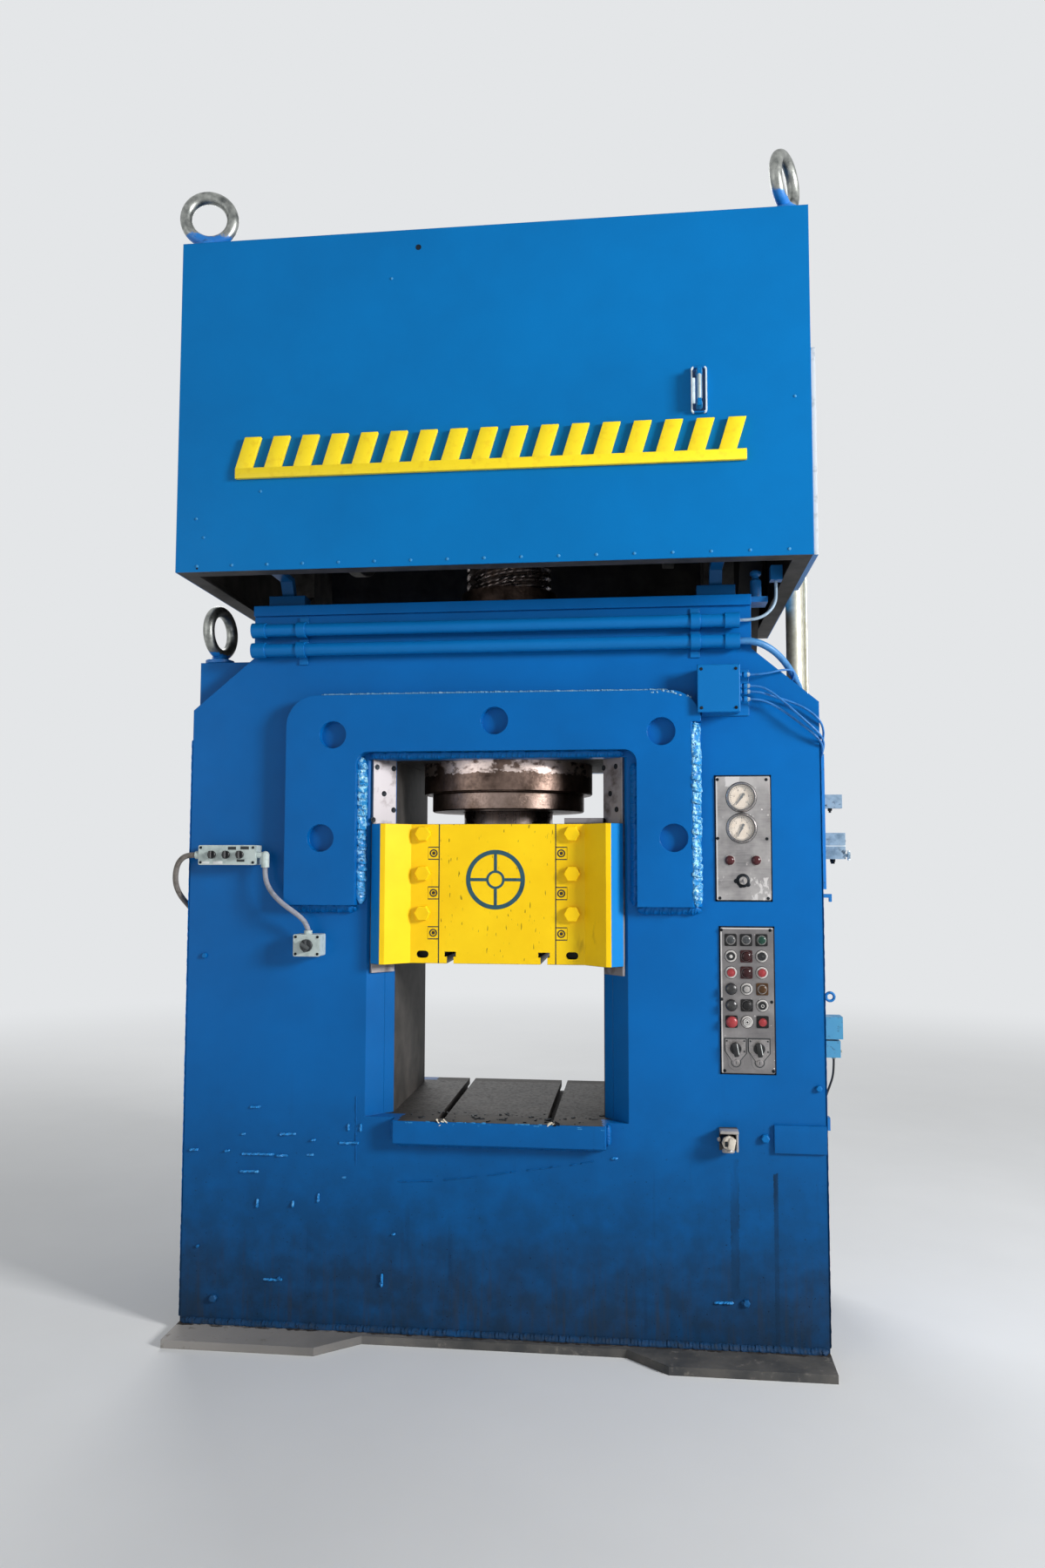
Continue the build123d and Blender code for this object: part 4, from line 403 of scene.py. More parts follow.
def forged_eye():
    """A forged eye bolt, zinc bright on the ring, with the casing's blue brushed over its foot."""
    finish = Finish("forged_eye", 0.4)
    height = finish.add("SeparateXYZ", "Z", {"Vector": finish.place})
    ragged = finish.patches(22, 0.2, 0.8)
    lift = finish.add("Math", 0, {0: ragged, 1: 0.03, 2: height}, operation="MULTIPLY_ADD")
    seat = casing_high.z * MM
    bare = finish.add("MapRange", "Result", {
        "Value": lift, "From Min": seat + 0.062, "From Max": seat + 0.072})
    on_shoulder = finish.band("Z", 2205, 2392, ragged=12)
    bare = finish.where_any(bare, on_shoulder)
    grime = finish.patches(35, 0.4, 0.7)
    steel = finish.coats("#A7A9A4", (grime, "#5F6261"))
    finish.tree.links.new(bare, finish.shader.inputs["Metallic"])
    finish.end(finish.coats("#1671BE", (bare, steel)), (grime, 0.3))


# Plastics, rubber, glass and paper
def moulded(name, tone, roughness=0.36, specular=0.5):
    """Injection-moulded plastic: an even colour with a fine spark-eroded grain and a little hand grease."""
    finish = Finish(name, roughness, ior=1.49, specular=specular)
    grease = finish.patches(12, 0.5, 0.8)
    greasy = (*(0.82 * part + 0.02 for part in colour(tone)[:3]), 1.0)
    sparks = finish.patches(0.8, 0.3, 0.7, detail=1.0)
    tone = finish.coats(tone, (grease, greasy))
    finish.end(tone, (sparks, 0.02), worn=(grease, roughness, roughness + 0.15))


def signal_lens(name, tone, sheen_tone):
    """Moulded acrylic over an unlit lamp: a deep colour with paler patches of painted sheen for the light
    that gathers in it, and fine ribs from the moulding.
    """
    finish = Finish(name, 0.2, ior=1.49, specular=0.3, gloss_coat=0.15)
    ribs = finish.patches(3, 0.3, 0.7, detail=1.0)
    finish.end(finish.coats(tone, (finish.patches(9, 0.5, 0.9), sheen_tone)), (ribs, 0.06))


def clear_glass():
    """The flat glass of a gauge: all but unseen, with a film of dust and a soft shine."""
    finish = Finish("clear_glass", 0.05, ior=1.45, specular=1.0)
    finish.shader.inputs["Alpha"].default_value = 0.10
    dust = finish.patches(30, 0.3, 0.9)
    finish.end(finish.coats("#E8EDEE", (dust, "#FFFFFF")), worn=(dust, 0.02, 0.12))


def printed_dial():
    """Coated card behind the gauge glass, yellowed from its edge."""
    finish = Finish("printed_dial", 0.6, specular=0.3)
    fibre = finish.patches(1.2, 0.3, 0.7)
    finish.end(finish.coats("#EBDCCB", (finish.patches(26, 0.3, 0.75), "#DCC9B2")), (fibre, 0.01))


def extruded(name, tone, dirt_tone, roughness=0.45, winding=0.0, specular=0.4):
    """Extruded PVC or rubber: a dull even skin with dirt in patches, and bands where it is spiral-wound."""
    finish = Finish(name, roughness, ior=1.52, specular=specular)
    dirt = finish.patches(24, 0.48, 0.74)
    layers = [(finish.patches(2.0, 0.3, 0.7, detail=1.0), 0.05)]
    if winding:
        rings = finish.add("TexWave", "Fac", {
            "Vector": finish.place, "Scale": 0.5 / (winding * MM), "Distortion": 1.5, "Detail": 1.0,
        }, bands_direction="Z")
        layers.insert(0, (rings, 0.5))
    finish.end(finish.coats(tone, (dirt, dirt_tone)), *layers, worn=(dirt, roughness, roughness + 0.2))


# The blues of the press, with the dark runs under the coupling and the side cover
frame_tones = ("#0064AE", "#005A9E", "#0A3558", 1000)
runs = [(742, 26, 160, 585), (866, 14, 10, 560)]
blue_enamel("frame_blue", *frame_tones, stains=runs)
blue_enamel("plate_blue", *frame_tones, table_edge, runs)
blue_enamel("column_blue", *frame_tones, window_walls)
blue_enamel("casing_blue", "#0070B4", "#0069AA", "#0E5C9C", 200, casing_inside)
# The casing frame's blue is a darker copy of the casing's: painted shade under the casing's overhang
blue_enamel("casing_frame_shaded_blue", "#0A4676", "#0A3C66", "#0E5C9C", 200, all_but_struts)
blue_enamel("fitting_blue", "#0A6CB2", "#0864A6", "#1A3A58", 300)
blue_enamel("flake_blue", "#2A80BC", "#5AA2CC", "#12304A", 300)
for make in (
        weld_enamel, yellow_enamel, side_enamel, brushed_sheet, rolled_plate, galvanised_pipe, forged_eye,
        clear_glass, printed_dial):
    make()
for settings in (
        ("handle_blue", "#2F78AE", "#1A5688", 0.3), ("handle_well_shade", "#0D3E6E", "#082A4C", 0.4),
        ("rim_white", "#DCE8EC", "#A4BCC8", 0.35), ("dusty_blue", "#6E9DBC", "#A9BAC2", 0.55),
        # The weld scars' blue is lighter than the plate's and its patches paler still: painted highlight
        ("scar_highlight_blue", "#1C7CC2", "#4FA0D4", 0.26), ("sign_yellow", "#F7DA1E", "#E8C416", 0.40),
        ("mark_teal", "#22505F", "#173B48", 0.5), ("switch_grey", "#B9C6C3", "#8E9C9B"),
        ("hatch_edge_highlight", "#C7CDD2", "#8C949A"), ("coupling_cream", "#CFC6B8", "#7E7365"),
        ("scrap_cream", "#E6DCC8", "#A08E70", 0.6)):
    box_enamel(*settings)
# Inside the frame the paint has gone under brown-black oil
cast_metal("oiled_casting", "#36322F", "#1E1B19", 0.62, 12, metallic=0.25)
cast_metal("nut_bronze", "#7E6A60", "#3E322C", 0.34, 9, rubbed=(1788, 1840))
cast_metal("ring_steel", "#96837A", "#5A4A40", 0.3, 6)
cast_metal("wheel_iron", "#6C6A68", "#3B3937", 0.45, 5)
cast_metal("black_bolt", "#33373B", "#1B1D20", 0.5, 3)
unground, turned_round = (1, 1, 1), (1, 1, 0.05)
ground_steel("rail_steel", "#8E8A8C", "#5F5856", roughness=0.5)
ground_steel("shield_zinc", "#A8A4A1", "#7A7572", unground, 0.45)
ground_steel("rim_chrome", "#C9C4C0", "#8F8884", unground, 0.24)
ground_steel("journal_steel", "#B9A9A2", "#6A574C", turned_round, 0.26)
ground_steel("zinc_bolt", "#B4B4AE", "#7C7A74", unground, 0.4)
for settings in (
        ("black_plastic", "#17181A", 0.34), ("bezel_black", "#151415", 0.40, 0.3),
        ("dome_grey", "#141315", 0.26, 0.8), ("red_plastic", "#9A3034", 0.32),
        ("silver_plastic", "#A29E9B", 0.30), ("ring_white", "#C4C1BE", 0.30),
        ("knob_grey", "#2E3235", 0.5), ("grip_grey", "#4A4F50", 0.45), ("label_black", "#23282A", 0.55),
        ("label_white", "#D7DAD8", 0.5), ("dial_ink", "#2B2A28", 0.6)):
    moulded(*settings)
for settings in (
        ("lens_grey", "#3C3E40", "#6E7274"), ("lens_green", "#123A2E", "#2F5A4C"),
        ("lens_red", "#2C080A", "#3A1214"), ("lens_wine", "#43161A", "#5A2428"),
        ("lens_amber", "#42290E", "#68481E")):
    signal_lens(*settings)
# Cords, belt, the leather round the flywheel, the sealant round the panels, and the dark of the casing's
# holes, which is painted shade
for settings in (
        ("conduit_grey", "#9A9CA6", "#70727C", 0.5, 4), ("braid_grey", "#7E7771", "#4E4842", 0.6, 3),
        ("hose_blue", "#3D7DB4", "#2A5E8E", 0.4), ("hose_pale", "#8FA6B8", "#5A7288", 0.4),
        ("cable_blue", "#2C74B8", "#1A5690", 0.38), ("cable_black", "#1D1E20", "#2C2B29", 0.5),
        ("belt_rubber", "#2A2826", "#3A3632", 0.7), ("lining_leather", "#5B3B25", "#3C2617", 0.75, 30),
        ("sealant_and_hole_shade", "#0B1A28", "#08121B", 0.7, 0.0, 0.2)):
    extruded(*settings)


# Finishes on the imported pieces
packed_finishes = {
    "rolled_plate": "base_plate",
    "frame_blue": "yoke_plate",
    "plate_blue": "frame_front_plate frame_rear_plate",
    "column_blue": "frame_column_left frame_column_right",
    "oiled_casting": "crown_block bed_block",
    "casing_blue": "casing_shell casing_front_panel",
    "casing_frame_shaded_blue": "casing_frame",
    "fitting_blue": "air_pipes junction_box motor",
    "rail_steel": "guide_rails",
    "nut_bronze": "screw_nut",
    "ring_steel": "nut_retaining_ring",
    "forged_eye": "eye_bolts",
    "galvanised_pipe": "riser_pipes",
    "brushed_sheet": "gauge_panel button_panel",
    "switch_grey": "switch_boxes",
    "side_enamel": "side_fittings",
    "yellow_enamel": "ram_block ram_cheek_left ram_cheek_right ram_bolts",
    "journal_steel": "screw_spindle drive_shaft",
    "wheel_iron": "flywheel friction_discs shaft_pulley motor_pulley bearing_standards shift_piston",
    "lining_leather": "friction_lining",
    "belt_rubber": "drive_belt",
    "black_plastic": "button_upper_left button_upper_right button_lower_right mushroom_upper mushroom_lower"
                     " selector_left selector_right box_knob_left box_knob_middle box_knob_right"
                     " gauge_pointer_upper gauge_pointer_lower",
    "knob_grey": "small_box_knob",
    "red_plastic": "button_red_left button_red_right mushroom_red button_bottom_right",
    "silver_plastic": "button_silver button_bottom_middle key_switch",
    "clear_glass": "panel_lenses",
}
for finish_name, nodes in packed_finishes.items():
    for node in nodes.split():
        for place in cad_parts[node].material_slots:
            place.material = finishes[finish_name]


# Making pieces
def place_at(at, towards):
    """The matrix that stands an upright shape at a point, along a direction."""
    turn = Vector(UP).rotation_difference(Vector(towards).normalized())
    return Matrix.Translation(Vector(at) * MM) @ turn.to_matrix().to_4x4()


def circle(steps):
    return [2 * math.pi * step / steps for step in range(steps)]


def rounded_outline(x, z, half_x, half_z, corner, steps=6):
    """The outline of an upright plate with round corners, as points of X and Z."""
    points = []
    for turn, side_x, side_z in ((0, 1, 1), (90, -1, 1), (180, -1, -1), (270, 1, -1)):
        for step in range(steps + 1):
            angle = math.radians(turn + 90 * step / steps)
            points.append((
                x + side_x * (half_x - corner) + corner * math.cos(angle),
                z + side_z * (half_z - corner) + corner * math.sin(angle)))
    return points


class Piece:
    """A mesh built in millimetres, which becomes a piece that rides on a body of the press."""

    def __init__(self):
        self.mesh = bmesh.new()
        self.marked = 0

    def point(self, x, y, z):
        return self.mesh.verts.new(Vector((x, y, z)) * MM)

    def mark(self, finish):
        """Gives the faces made since the last mark their finish."""
        self.mesh.faces.ensure_lookup_table()
        for face in self.mesh.faces[self.marked:]:
            face.material_index = finish
            face.smooth = True
        self.marked = len(self.mesh.faces)

    def stitch(self, rings, closed=True):
        """Faces between neighbouring rings, or open rows, of as many points each."""
        for low, high in zip(rings, rings[1:]):
            for step in range(len(low) if closed else len(low) - 1):
                after = (step + 1) % len(low)
                self.mesh.faces.new((low[step], low[after], high[after], high[step]))

    def block(self, x, y, z, soft=1.0, finish=0, turn=None):
        """A box between two limits on each axis, with rounded edges."""
        size = Vector((x[1] - x[0], y[1] - y[0], z[1] - z[0])) * MM
        middle = Vector((x[0] + x[1], y[0] + y[1], z[0] + z[1])) * MM / 2
        matrix = Matrix.Translation(middle) @ (turn or Matrix.Identity(4)) @ Matrix.Diagonal((*size, 1.0))
        made = bmesh.ops.create_cube(self.mesh, size=1.0, matrix=matrix)
        if soft:
            edges = list(dict.fromkeys(edge for vert in made["verts"] for edge in vert.link_edges))
            bmesh.ops.bevel(
                self.mesh, geom=edges, offset=soft * MM, segments=2, profile=0.5, affect="EDGES",
                clamp_overlap=True)
        self.mark(finish)

    def turned(self, profile, at, finish=0, steps=40, towards=FRONT):
        """A body turned about an axis, from points of radius and height."""
        place = place_at(at, towards)
        rings = []
        for radius, height in profile:
            angles = circle(steps) if radius > 0 else [0.0]
            rings.append([self.mesh.verts.new(place @ (Vector((
                radius * math.cos(angle), radius * math.sin(angle), height)) * MM)) for angle in angles])
        for low, high in zip(rings, rings[1:]):
            if len(low) == 1 and len(high) == 1:
                continue
            for step in range(steps):
                after = (step + 1) % steps
                # Where a ring has shrunk to a point, the face is a triangle
                face = [low[step % len(low)], low[after % len(low)]]
                face += [high[after % len(high)], high[step % len(high)]]
                self.mesh.faces.new(list(dict.fromkeys(face)))
        self.mark(finish)

    def ring(self, outer, inner, height, at, finish=0, steps=40):
        """A flat ring with slightly rounded edges, facing the front."""
        soft = min(0.25 * height, 0.2 * (outer - inner))
        self.turned([
            (inner, 0), (outer, 0), (outer, height - soft), (outer - soft, height), (inner + soft, height),
            (inner, height - soft), (inner, 0)], at, finish, steps)

    def hexagon(self, flats, height, at, towards=FRONT):
        """A hexagon head with its corners turned off."""
        corner = flats / math.sqrt(3)
        self.turned([
            (0, 0), (corner, 0), (corner, height - 0.12 * flats), (0.45 * flats, height), (0, height)],
            at, steps=6, towards=towards)

    def screw(self, diameter, height, at, finish=0, slot=None, towards=FRONT):
        """A low domed screw head, with a driver bar across it if its turn in degrees is given."""
        radius = diameter / 2
        self.turned([
            (0, -0.5), (radius, -0.5), (radius, 0.35 * height), (0.75 * radius, 0.85 * height), (0, height)],
            at, finish, 18, towards)
        if slot is not None:
            bar = place_at(at, towards) @ Matrix.Rotation(math.radians(slot), 4, "Z")
            bar = bar @ Matrix.Translation((0, 0, height * MM))
            size = Matrix.Diagonal((1.5 * radius * MM, 0.22 * diameter * MM, 0.5 * MM, 1.0))
            bmesh.ops.create_cube(self.mesh, size=1.0, matrix=bar @ size)
            self.mark(finish)

    def plate(self, outline, near, far, finish=0):
        """A flat plate cut to an outline of X and Z points, between two depths."""
        rings = [[self.point(x, y, z) for x, z in outline] for y in (near, far)]
        self.mesh.faces.new(rings[0])
        self.mesh.faces.new(rings[1][::-1])
        self.stitch(rings)
        self.mark(finish)

    def rim(self, outer, inner, near, far):
        """A rim standing between two outlines of as many points each."""
        rings = [
            [self.point(x, y, z) for x, z in outline]
            for outline, y in ((outer, far), (outer, near), (inner, near), (inner, far))]
        self.stitch(rings + rings[:1])
        self.mark(0)

    def bead(self, start, end, side, out, width, height, ripple=9.0, seed=1, ragged=0.2):
        """A weld bead from start to end: overlapping crescents that wander a little."""
        chance = random.Random(seed)
        start, end = Vector(start), Vector(end)
        along = (end - start).normalized()
        side, out = Vector(side).normalized(), Vector(out).normalized()
        length = (end - start).length
        rows = max(4, int(length / ripple * 5))
        columns = 9
        ripples = int(length / ripple) + 3
        lumps = [chance.uniform(1 - ragged, 1 + ragged) for _ in range(ripples)]
        drift = [chance.uniform(-1, 1) * width * 0.06 for _ in range(ripples)]
        lines = []
        for row in range(rows + 1):
            run = length * row / rows
            taper = min(1.0, (run + 1.0) / (0.6 * width), (length - run + 1.0) / (0.6 * width))
            taper = math.sqrt(max(0.02, taper))
            line = []
            for column in range(columns):
                angle = math.pi * column / (columns - 1)
                phase = run / ripple + 0.45 * math.sin(angle)
                lump = lumps[int(phase)]
                crest = 0.72 + 0.28 * (1 - phase % 1.0) * lump
                across = 0.5 * width * taper * math.cos(angle) * (0.9 + 0.1 * lump) + drift[int(phase)]
                rise = height * taper * math.sin(angle) * crest * lump
                line.append(self.point(*(start + along * run + side * across + out * rise)))
            lines.append(line)
        self.stitch(lines, closed=False)
        self.mark(0)

    def bezel(self, half, hole, height, at, finish, corner=3.0, steps=48):
        """A square frame with rounded corners round a round hole, standing out to the front."""
        rings = []
        for level, inset in ((0.0, 0.0), (height - 1.2, 0.0), (height, 1.2)):
            size = half - inset
            limit = size - corner
            loop = []
            for angle in circle(steps):
                scale = size / max(abs(math.cos(angle)), abs(math.sin(angle)))
                x, z = scale * math.cos(angle), scale * math.sin(angle)
                past_x, past_z = max(0.0, abs(x) - limit), max(0.0, abs(z) - limit)
                if past_x and past_z:
                    spread = min(1.0, corner / math.hypot(past_x, past_z))
                    x = math.copysign(limit + past_x * spread, x)
                    z = math.copysign(limit + past_z * spread, z)
                loop.append(self.point(at[0] + x, at[1] - level, at[2] + z))
            rings.append(loop)
        for level in (height, 0.0):
            rings.append([
                self.point(at[0] + hole * math.cos(angle), at[1] - level, at[2] + hole * math.sin(angle))
                for angle in circle(steps)])
        self.stitch(rings + rings[:1])
        self.mark(finish)

    def dome(self, radius, low, high, at, finish=0):
        """A lens dome with a stepped rim."""
        profile = [(0, 0), (radius, 0), (radius, low), (0.94 * radius, low + 1)]
        for step in range(1, 7):
            angle = math.radians(15 * step)
            reach = 0.94 * radius * math.cos(angle) if step < 6 else 0
            profile.append((reach, low + 1 + (high - low - 1) * math.sin(angle)))
        self.turned(profile, at, finish)

    def figures(self, words, size, at, finish):
        """Plain figures standing on a face that looks to the front."""
        curve = bpy.data.curves.new("figures", "FONT")
        curve.body = words
        curve.size = size * MM
        curve.extrude = 0.15 * MM
        curve.align_x = "CENTER"
        curve.align_y = "CENTER"
        holder = new_object("figures", curve)
        flat = bpy.data.meshes.new_from_object(holder.evaluated_get(bpy.context.evaluated_depsgraph_get()))
        flat.transform(Matrix.Translation(Vector(at) * MM) @ Matrix.Rotation(math.radians(90), 4, "X"))
        self.mesh.from_mesh(flat)
        bpy.data.objects.remove(holder)
        bpy.data.meshes.remove(flat)
        self.mark(finish)

    def keep(self, name, slot, *finish_names, body="frame", stands_for=(), closed=True):
        """Turns the mesh into a piece that rides on a body."""
        if closed:
            bmesh.ops.recalc_face_normals(self.mesh, faces=self.mesh.faces)
        data = bpy.data.meshes.new(name)
        self.mesh.to_mesh(data)
        self.mesh.free()
        data.set_sharp_from_angle(angle=math.radians(35))
        for finish_name in finish_names:
            data.materials.append(finishes[finish_name])
        piece = new_object(name, data)
        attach(piece, body)
        if stands_for:
            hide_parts(*stands_for)


# Cords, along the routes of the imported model, in metres
def lay_cord(name, diameter, finish, node, route):
    """A cord on one smooth line from its exit to where it goes back into the press."""
    curve = bpy.data.curves.new(name, "CURVE")
    curve.dimensions = "3D"
    curve.bevel_depth = diameter / 2
    curve.bevel_resolution = 5
    curve.resolution_u = 14
    curve.use_fill_caps = True
    line = curve.splines.new("NURBS")
    line.points.add(len(route) - 1)
    for point, place in zip(line.points, route):
        point.co = (*place, 1.0)
    line.order_u = 3
    line.use_endpoint_u = True
    curve.materials.append(finishes[finish])
    piece = new_object(name, curve)
    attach(piece, "frame")
    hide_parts(node)


lay_cord("switch_conduit", 0.016, "conduit_grey", "switch_conduits", [
    (-0.748, -0.370, 1.478), (-0.748, -0.370, 1.454), (-0.740, -0.374, 1.427), (-0.724, -0.381, 1.402),
    (-0.700, -0.388, 1.378), (-0.673, -0.392, 1.357), (-0.645, -0.391, 1.338), (-0.621, -0.385, 1.319),
    (-0.606, -0.376, 1.298), (-0.601, -0.370, 1.277)])
lay_cord("feed_conduit", 0.018, "braid_grey", "switch_conduits", [
    (-0.982, -0.370, 1.518), (-1.004, -0.370, 1.518), (-1.026, -0.368, 1.511), (-1.044, -0.363, 1.494),
    (-1.055, -0.356, 1.470), (-1.061, -0.347, 1.443), (-1.063, -0.334, 1.417), (-1.061, -0.315, 1.393),
    (-1.057, -0.291, 1.372), (-1.051, -0.263, 1.352), (-1.045, -0.236, 1.331), (-1.041, -0.213, 1.308),
    (-1.040, -0.200, 1.285)])
lay_cord("lower_hose", 0.022, "hose_blue", "hoses_and_cables", [
    (0.775, -0.354, 2.192), (0.800, -0.354, 2.192), (0.832, -0.350, 2.187), (0.864, -0.339, 2.174),
    (0.893, -0.322, 2.156), (0.918, -0.302, 2.134), (0.939, -0.280, 2.110), (0.957, -0.258, 2.087),
    (0.970, -0.241, 2.063), (0.976, -0.231, 2.040), (0.978, -0.228, 2.022), (0.978, -0.228, 2.008)])
lay_cord("upper_hose", 0.010, "hose_pale", "hoses_and_cables", [
    (0.775, -0.354, 2.258), (0.800, -0.354, 2.258), (0.832, -0.353, 2.262), (0.860, -0.349, 2.276),
    (0.880, -0.341, 2.298), (0.891, -0.329, 2.324), (0.894, -0.317, 2.349), (0.895, -0.308, 2.372),
    (0.895, -0.308, 2.392)])
lay_cord("top_cable", 0.007, "cable_blue", "hoses_and_cables", [
    (0.804, -0.357, 2.084), (0.832, -0.357, 2.084), (0.866, -0.356, 2.089), (0.898, -0.350, 2.097),
    (0.926, -0.337, 2.101), (0.943, -0.317, 2.101), (0.949, -0.294, 2.094), (0.947, -0.270, 2.081),
    (0.940, -0.246, 2.065), (0.934, -0.227, 2.047), (0.930, -0.214, 2.027), (0.930, -0.214, 2.008)])
lay_cord("second_cable", 0.007, "cable_blue", "hoses_and_cables", [
    (0.804, -0.357, 2.048), (0.828, -0.357, 2.048), (0.855, -0.360, 2.038), (0.883, -0.364, 2.017),
    (0.912, -0.367, 1.991), (0.941, -0.368, 1.964), (0.970, -0.367, 1.937), (0.997, -0.361, 1.913),
    (1.018, -0.350, 1.893), (1.030, -0.334, 1.877), (1.034, -0.316, 1.862), (1.033, -0.302, 1.848),
    (1.031, -0.296, 1.837)])
lay_cord("third_cable", 0.007, "cable_blue", "hoses_and_cables", [
    (0.804, -0.357, 2.030), (0.828, -0.357, 2.030), (0.856, -0.352, 2.022), (0.886, -0.346, 2.013),
    (0.918, -0.342, 2.003), (0.950, -0.340, 1.991), (0.980, -0.340, 1.975), (1.006, -0.339, 1.955),
    (1.025, -0.333, 1.932), (1.034, -0.318, 1.908), (1.035, -0.299, 1.884), (1.032, -0.281, 1.860),
    (1.028, -0.270, 1.837)])
lay_cord("fourth_cable", 0.007, "cable_blue", "hoses_and_cables", [
    (0.804, -0.357, 2.006), (0.828, -0.357, 2.006), (0.856, -0.355, 1.998), (0.885, -0.353, 1.983),
    (0.913, -0.352, 1.964), (0.942, -0.352, 1.942), (0.970, -0.352, 1.919), (0.995, -0.350, 1.899),
    (1.015, -0.344, 1.880), (1.027, -0.332, 1.863), (1.030, -0.318, 1.844), (1.028, -0.305, 1.828)])
lay_cord("limit_cable", 0.007, "cable_black", "hoses_and_cables", [
    (1.070, -0.175, 0.880), (1.070, -0.175, 0.848), (1.066, -0.175, 0.815), (1.055, -0.175, 0.784),
    (1.043, -0.175, 0.754), (1.037, -0.175, 0.722), (1.037, -0.175, 0.690)])


# Weld seams
def make_yoke_welds():
    seams = Piece()
    leg, inner_edge, outer_edge = 24.0, -450.0, 637.0
    inner_top, outer_top, window_head = 1836, 1936, 1841
    inner = (inner_edge + leg / 2, front - leg / 2)
    outer = (outer_edge, yoke_face + 14)
    beside = ((1, 1, 0), (1, -1, 0))
    seams.bead((*inner, yoke_low.z + 4), (*inner, inner_top), *beside, 1.5 * leg, 11, 11, 3, 0.45)
    seams.bead((*outer, yoke_low.z + 2), (*outer, outer_top), *beside, 40, 9, 12, 5, 0.5)
    seams.keep("yoke_side_welds", "blue_paint", "weld_enamel", closed=False)
    # The bead along the yoke's top edge is dull with dust and ends in scraped spots on the right
    seams = Piece()
    ground_off = 552
    top = yoke_high.z + 4
    seams.bead((-584, front - 6, top), (ground_off, front - 6, top), (0, 1, 1), (0, -1, 1), 16, 7, 8, 7)
    chance = random.Random(31)
    for number in range(9):
        x = 500 + number * 14 + chance.uniform(-5, 5)
        z = yoke_high.z - max(0.0, x - ground_off) * 0.35 + chance.uniform(-2, 3)
        seams.bead((x, yoke_face + 3, z - 3), (x + chance.uniform(8, 20), yoke_face + 3, z - 5),
                   (0, 1, 1), (0, -1, 1), chance.uniform(7, 13), 3.4, 5, 130 + number, 0.6)
    seams.keep("yoke_top_weld", "blue_paint", "dusty_blue", closed=False)
    seams = Piece()
    under, out, near = (0, 1, -1), (0, -1, -1), front - 10
    low = yoke_low.z - 12
    for x0, x1, seed in ((-682, -452, 8), (452, 650, 9)):
        seams.bead((x0, front - 12, low), (x1, front - 12, low), under, out, 34, 9, seed=seed)
    seams.bead((-410, near, window_head), (410, near, window_head), under, out, 26, 8, seed=10)
    seams.bead((440, near, yoke_low.z + 4), (440, near, 1810), (-1, 1, 0), (-1, -1, 0), 28, 8, seed=11)
    seams.keep("yoke_fillet_welds", "blue_paint", "frame_blue", closed=False)


def make_front_scars():
    """Remains of tack welds and ground-off lugs on the front plate, as places of X, Z and length."""
    scars = Piece()
    level_scars = [
        (-781, 705, 38), (-820, 618, 16), (-672, 622, 55), (-587, 606, 18), (-985, 564, 32), (-873, 564, 20),
        (-770, 556, 110), (-690, 554, 40), (-597, 559, 24), (-798, 501, 64), (-470, 600, 66), (-485, 492, 14),
        (-714, 166, 64), (706, 158, 58), (375, 578, 22), (-322, 322, 14),
    ]
    upright_scars = [
        (-473, 650, 22), (-433, 650, 26), (-770, 403, 28), (-652, 405, 22), (-569, 427, 28), (-359, 180, 42)]
    near = front - 0.5
    for number, (x, z, length) in enumerate(level_scars):
        half = length / 2
        scars.bead((x - half, near, z), (x + half, near, z + 2), UP, FRONT, 7.5, 5, 8, 20 + number, 0.7)
    for number, (x, z, length) in enumerate(upright_scars):
        half = length / 2
        scars.bead((x, near, z - half), (x + 1, near, z + half), RIGHT, FRONT, 8, 6, 8, 50 + number, 0.6)
    # Their lighter blue is a painted highlight on the scars' crests
    scars.keep("front_scars", "blue_paint", "scar_highlight_blue", closed=False)
    seam = Piece()
    bends = [(-322, 484), (-175, 494), (-36, 512), (88, 532), (225, 552), (330, 570)]
    for number, ((x0, z0), (x1, z1)) in enumerate(zip(bends, bends[1:])):
        seam.bead((x0 + 12, front, z0 + 2), (x1 - 18, front, z1 - 2), UP, FRONT, 5, 2.4, 10, 80 + number, 0.5)
    seam.bead((-447, front, 530), (-449, front, 748), RIGHT, FRONT, 4, 2, 12, 90, 0.5)
    seam.keep("front_seam", "blue_paint", "plate_blue", closed=False)
    studs = Piece()
    for x, z, size in ((-963, 1189, 16), (-909, 101, 22), (999, 807, 18), (836, 653, 24), (773, 161, 20)):
        studs.hexagon(size, 0.55 * size, (x, front, z), (0, -1, 0.1))
    for x, z in ((-694, 173), (-362, 171), (763, 163), (-965, 262), (-918, 95)):
        studs.turned([(0, -1), (5, -1), (5, 6), (3.5, 7.5), (0, 7.5)], (x, front, z), steps=14)
    studs.keep("front_studs", "blue_paint", "fitting_blue")


def make_foot_weld():
    """The seam where the frame stands on its base plate, front and back."""
    seam = Piece()
    reach, z = half_width - 6, base_high.z + 7
    for face, seed in ((-1, 101), (1, 102)):
        y = face * (8 - front)
        seam.bead((-reach, y, z), (reach, y, z), (0, 1, -face), (0, face, 1), 22, 6, 11, seed)
    seam.keep("foot_weld", "blue_paint", "frame_blue", closed=False)


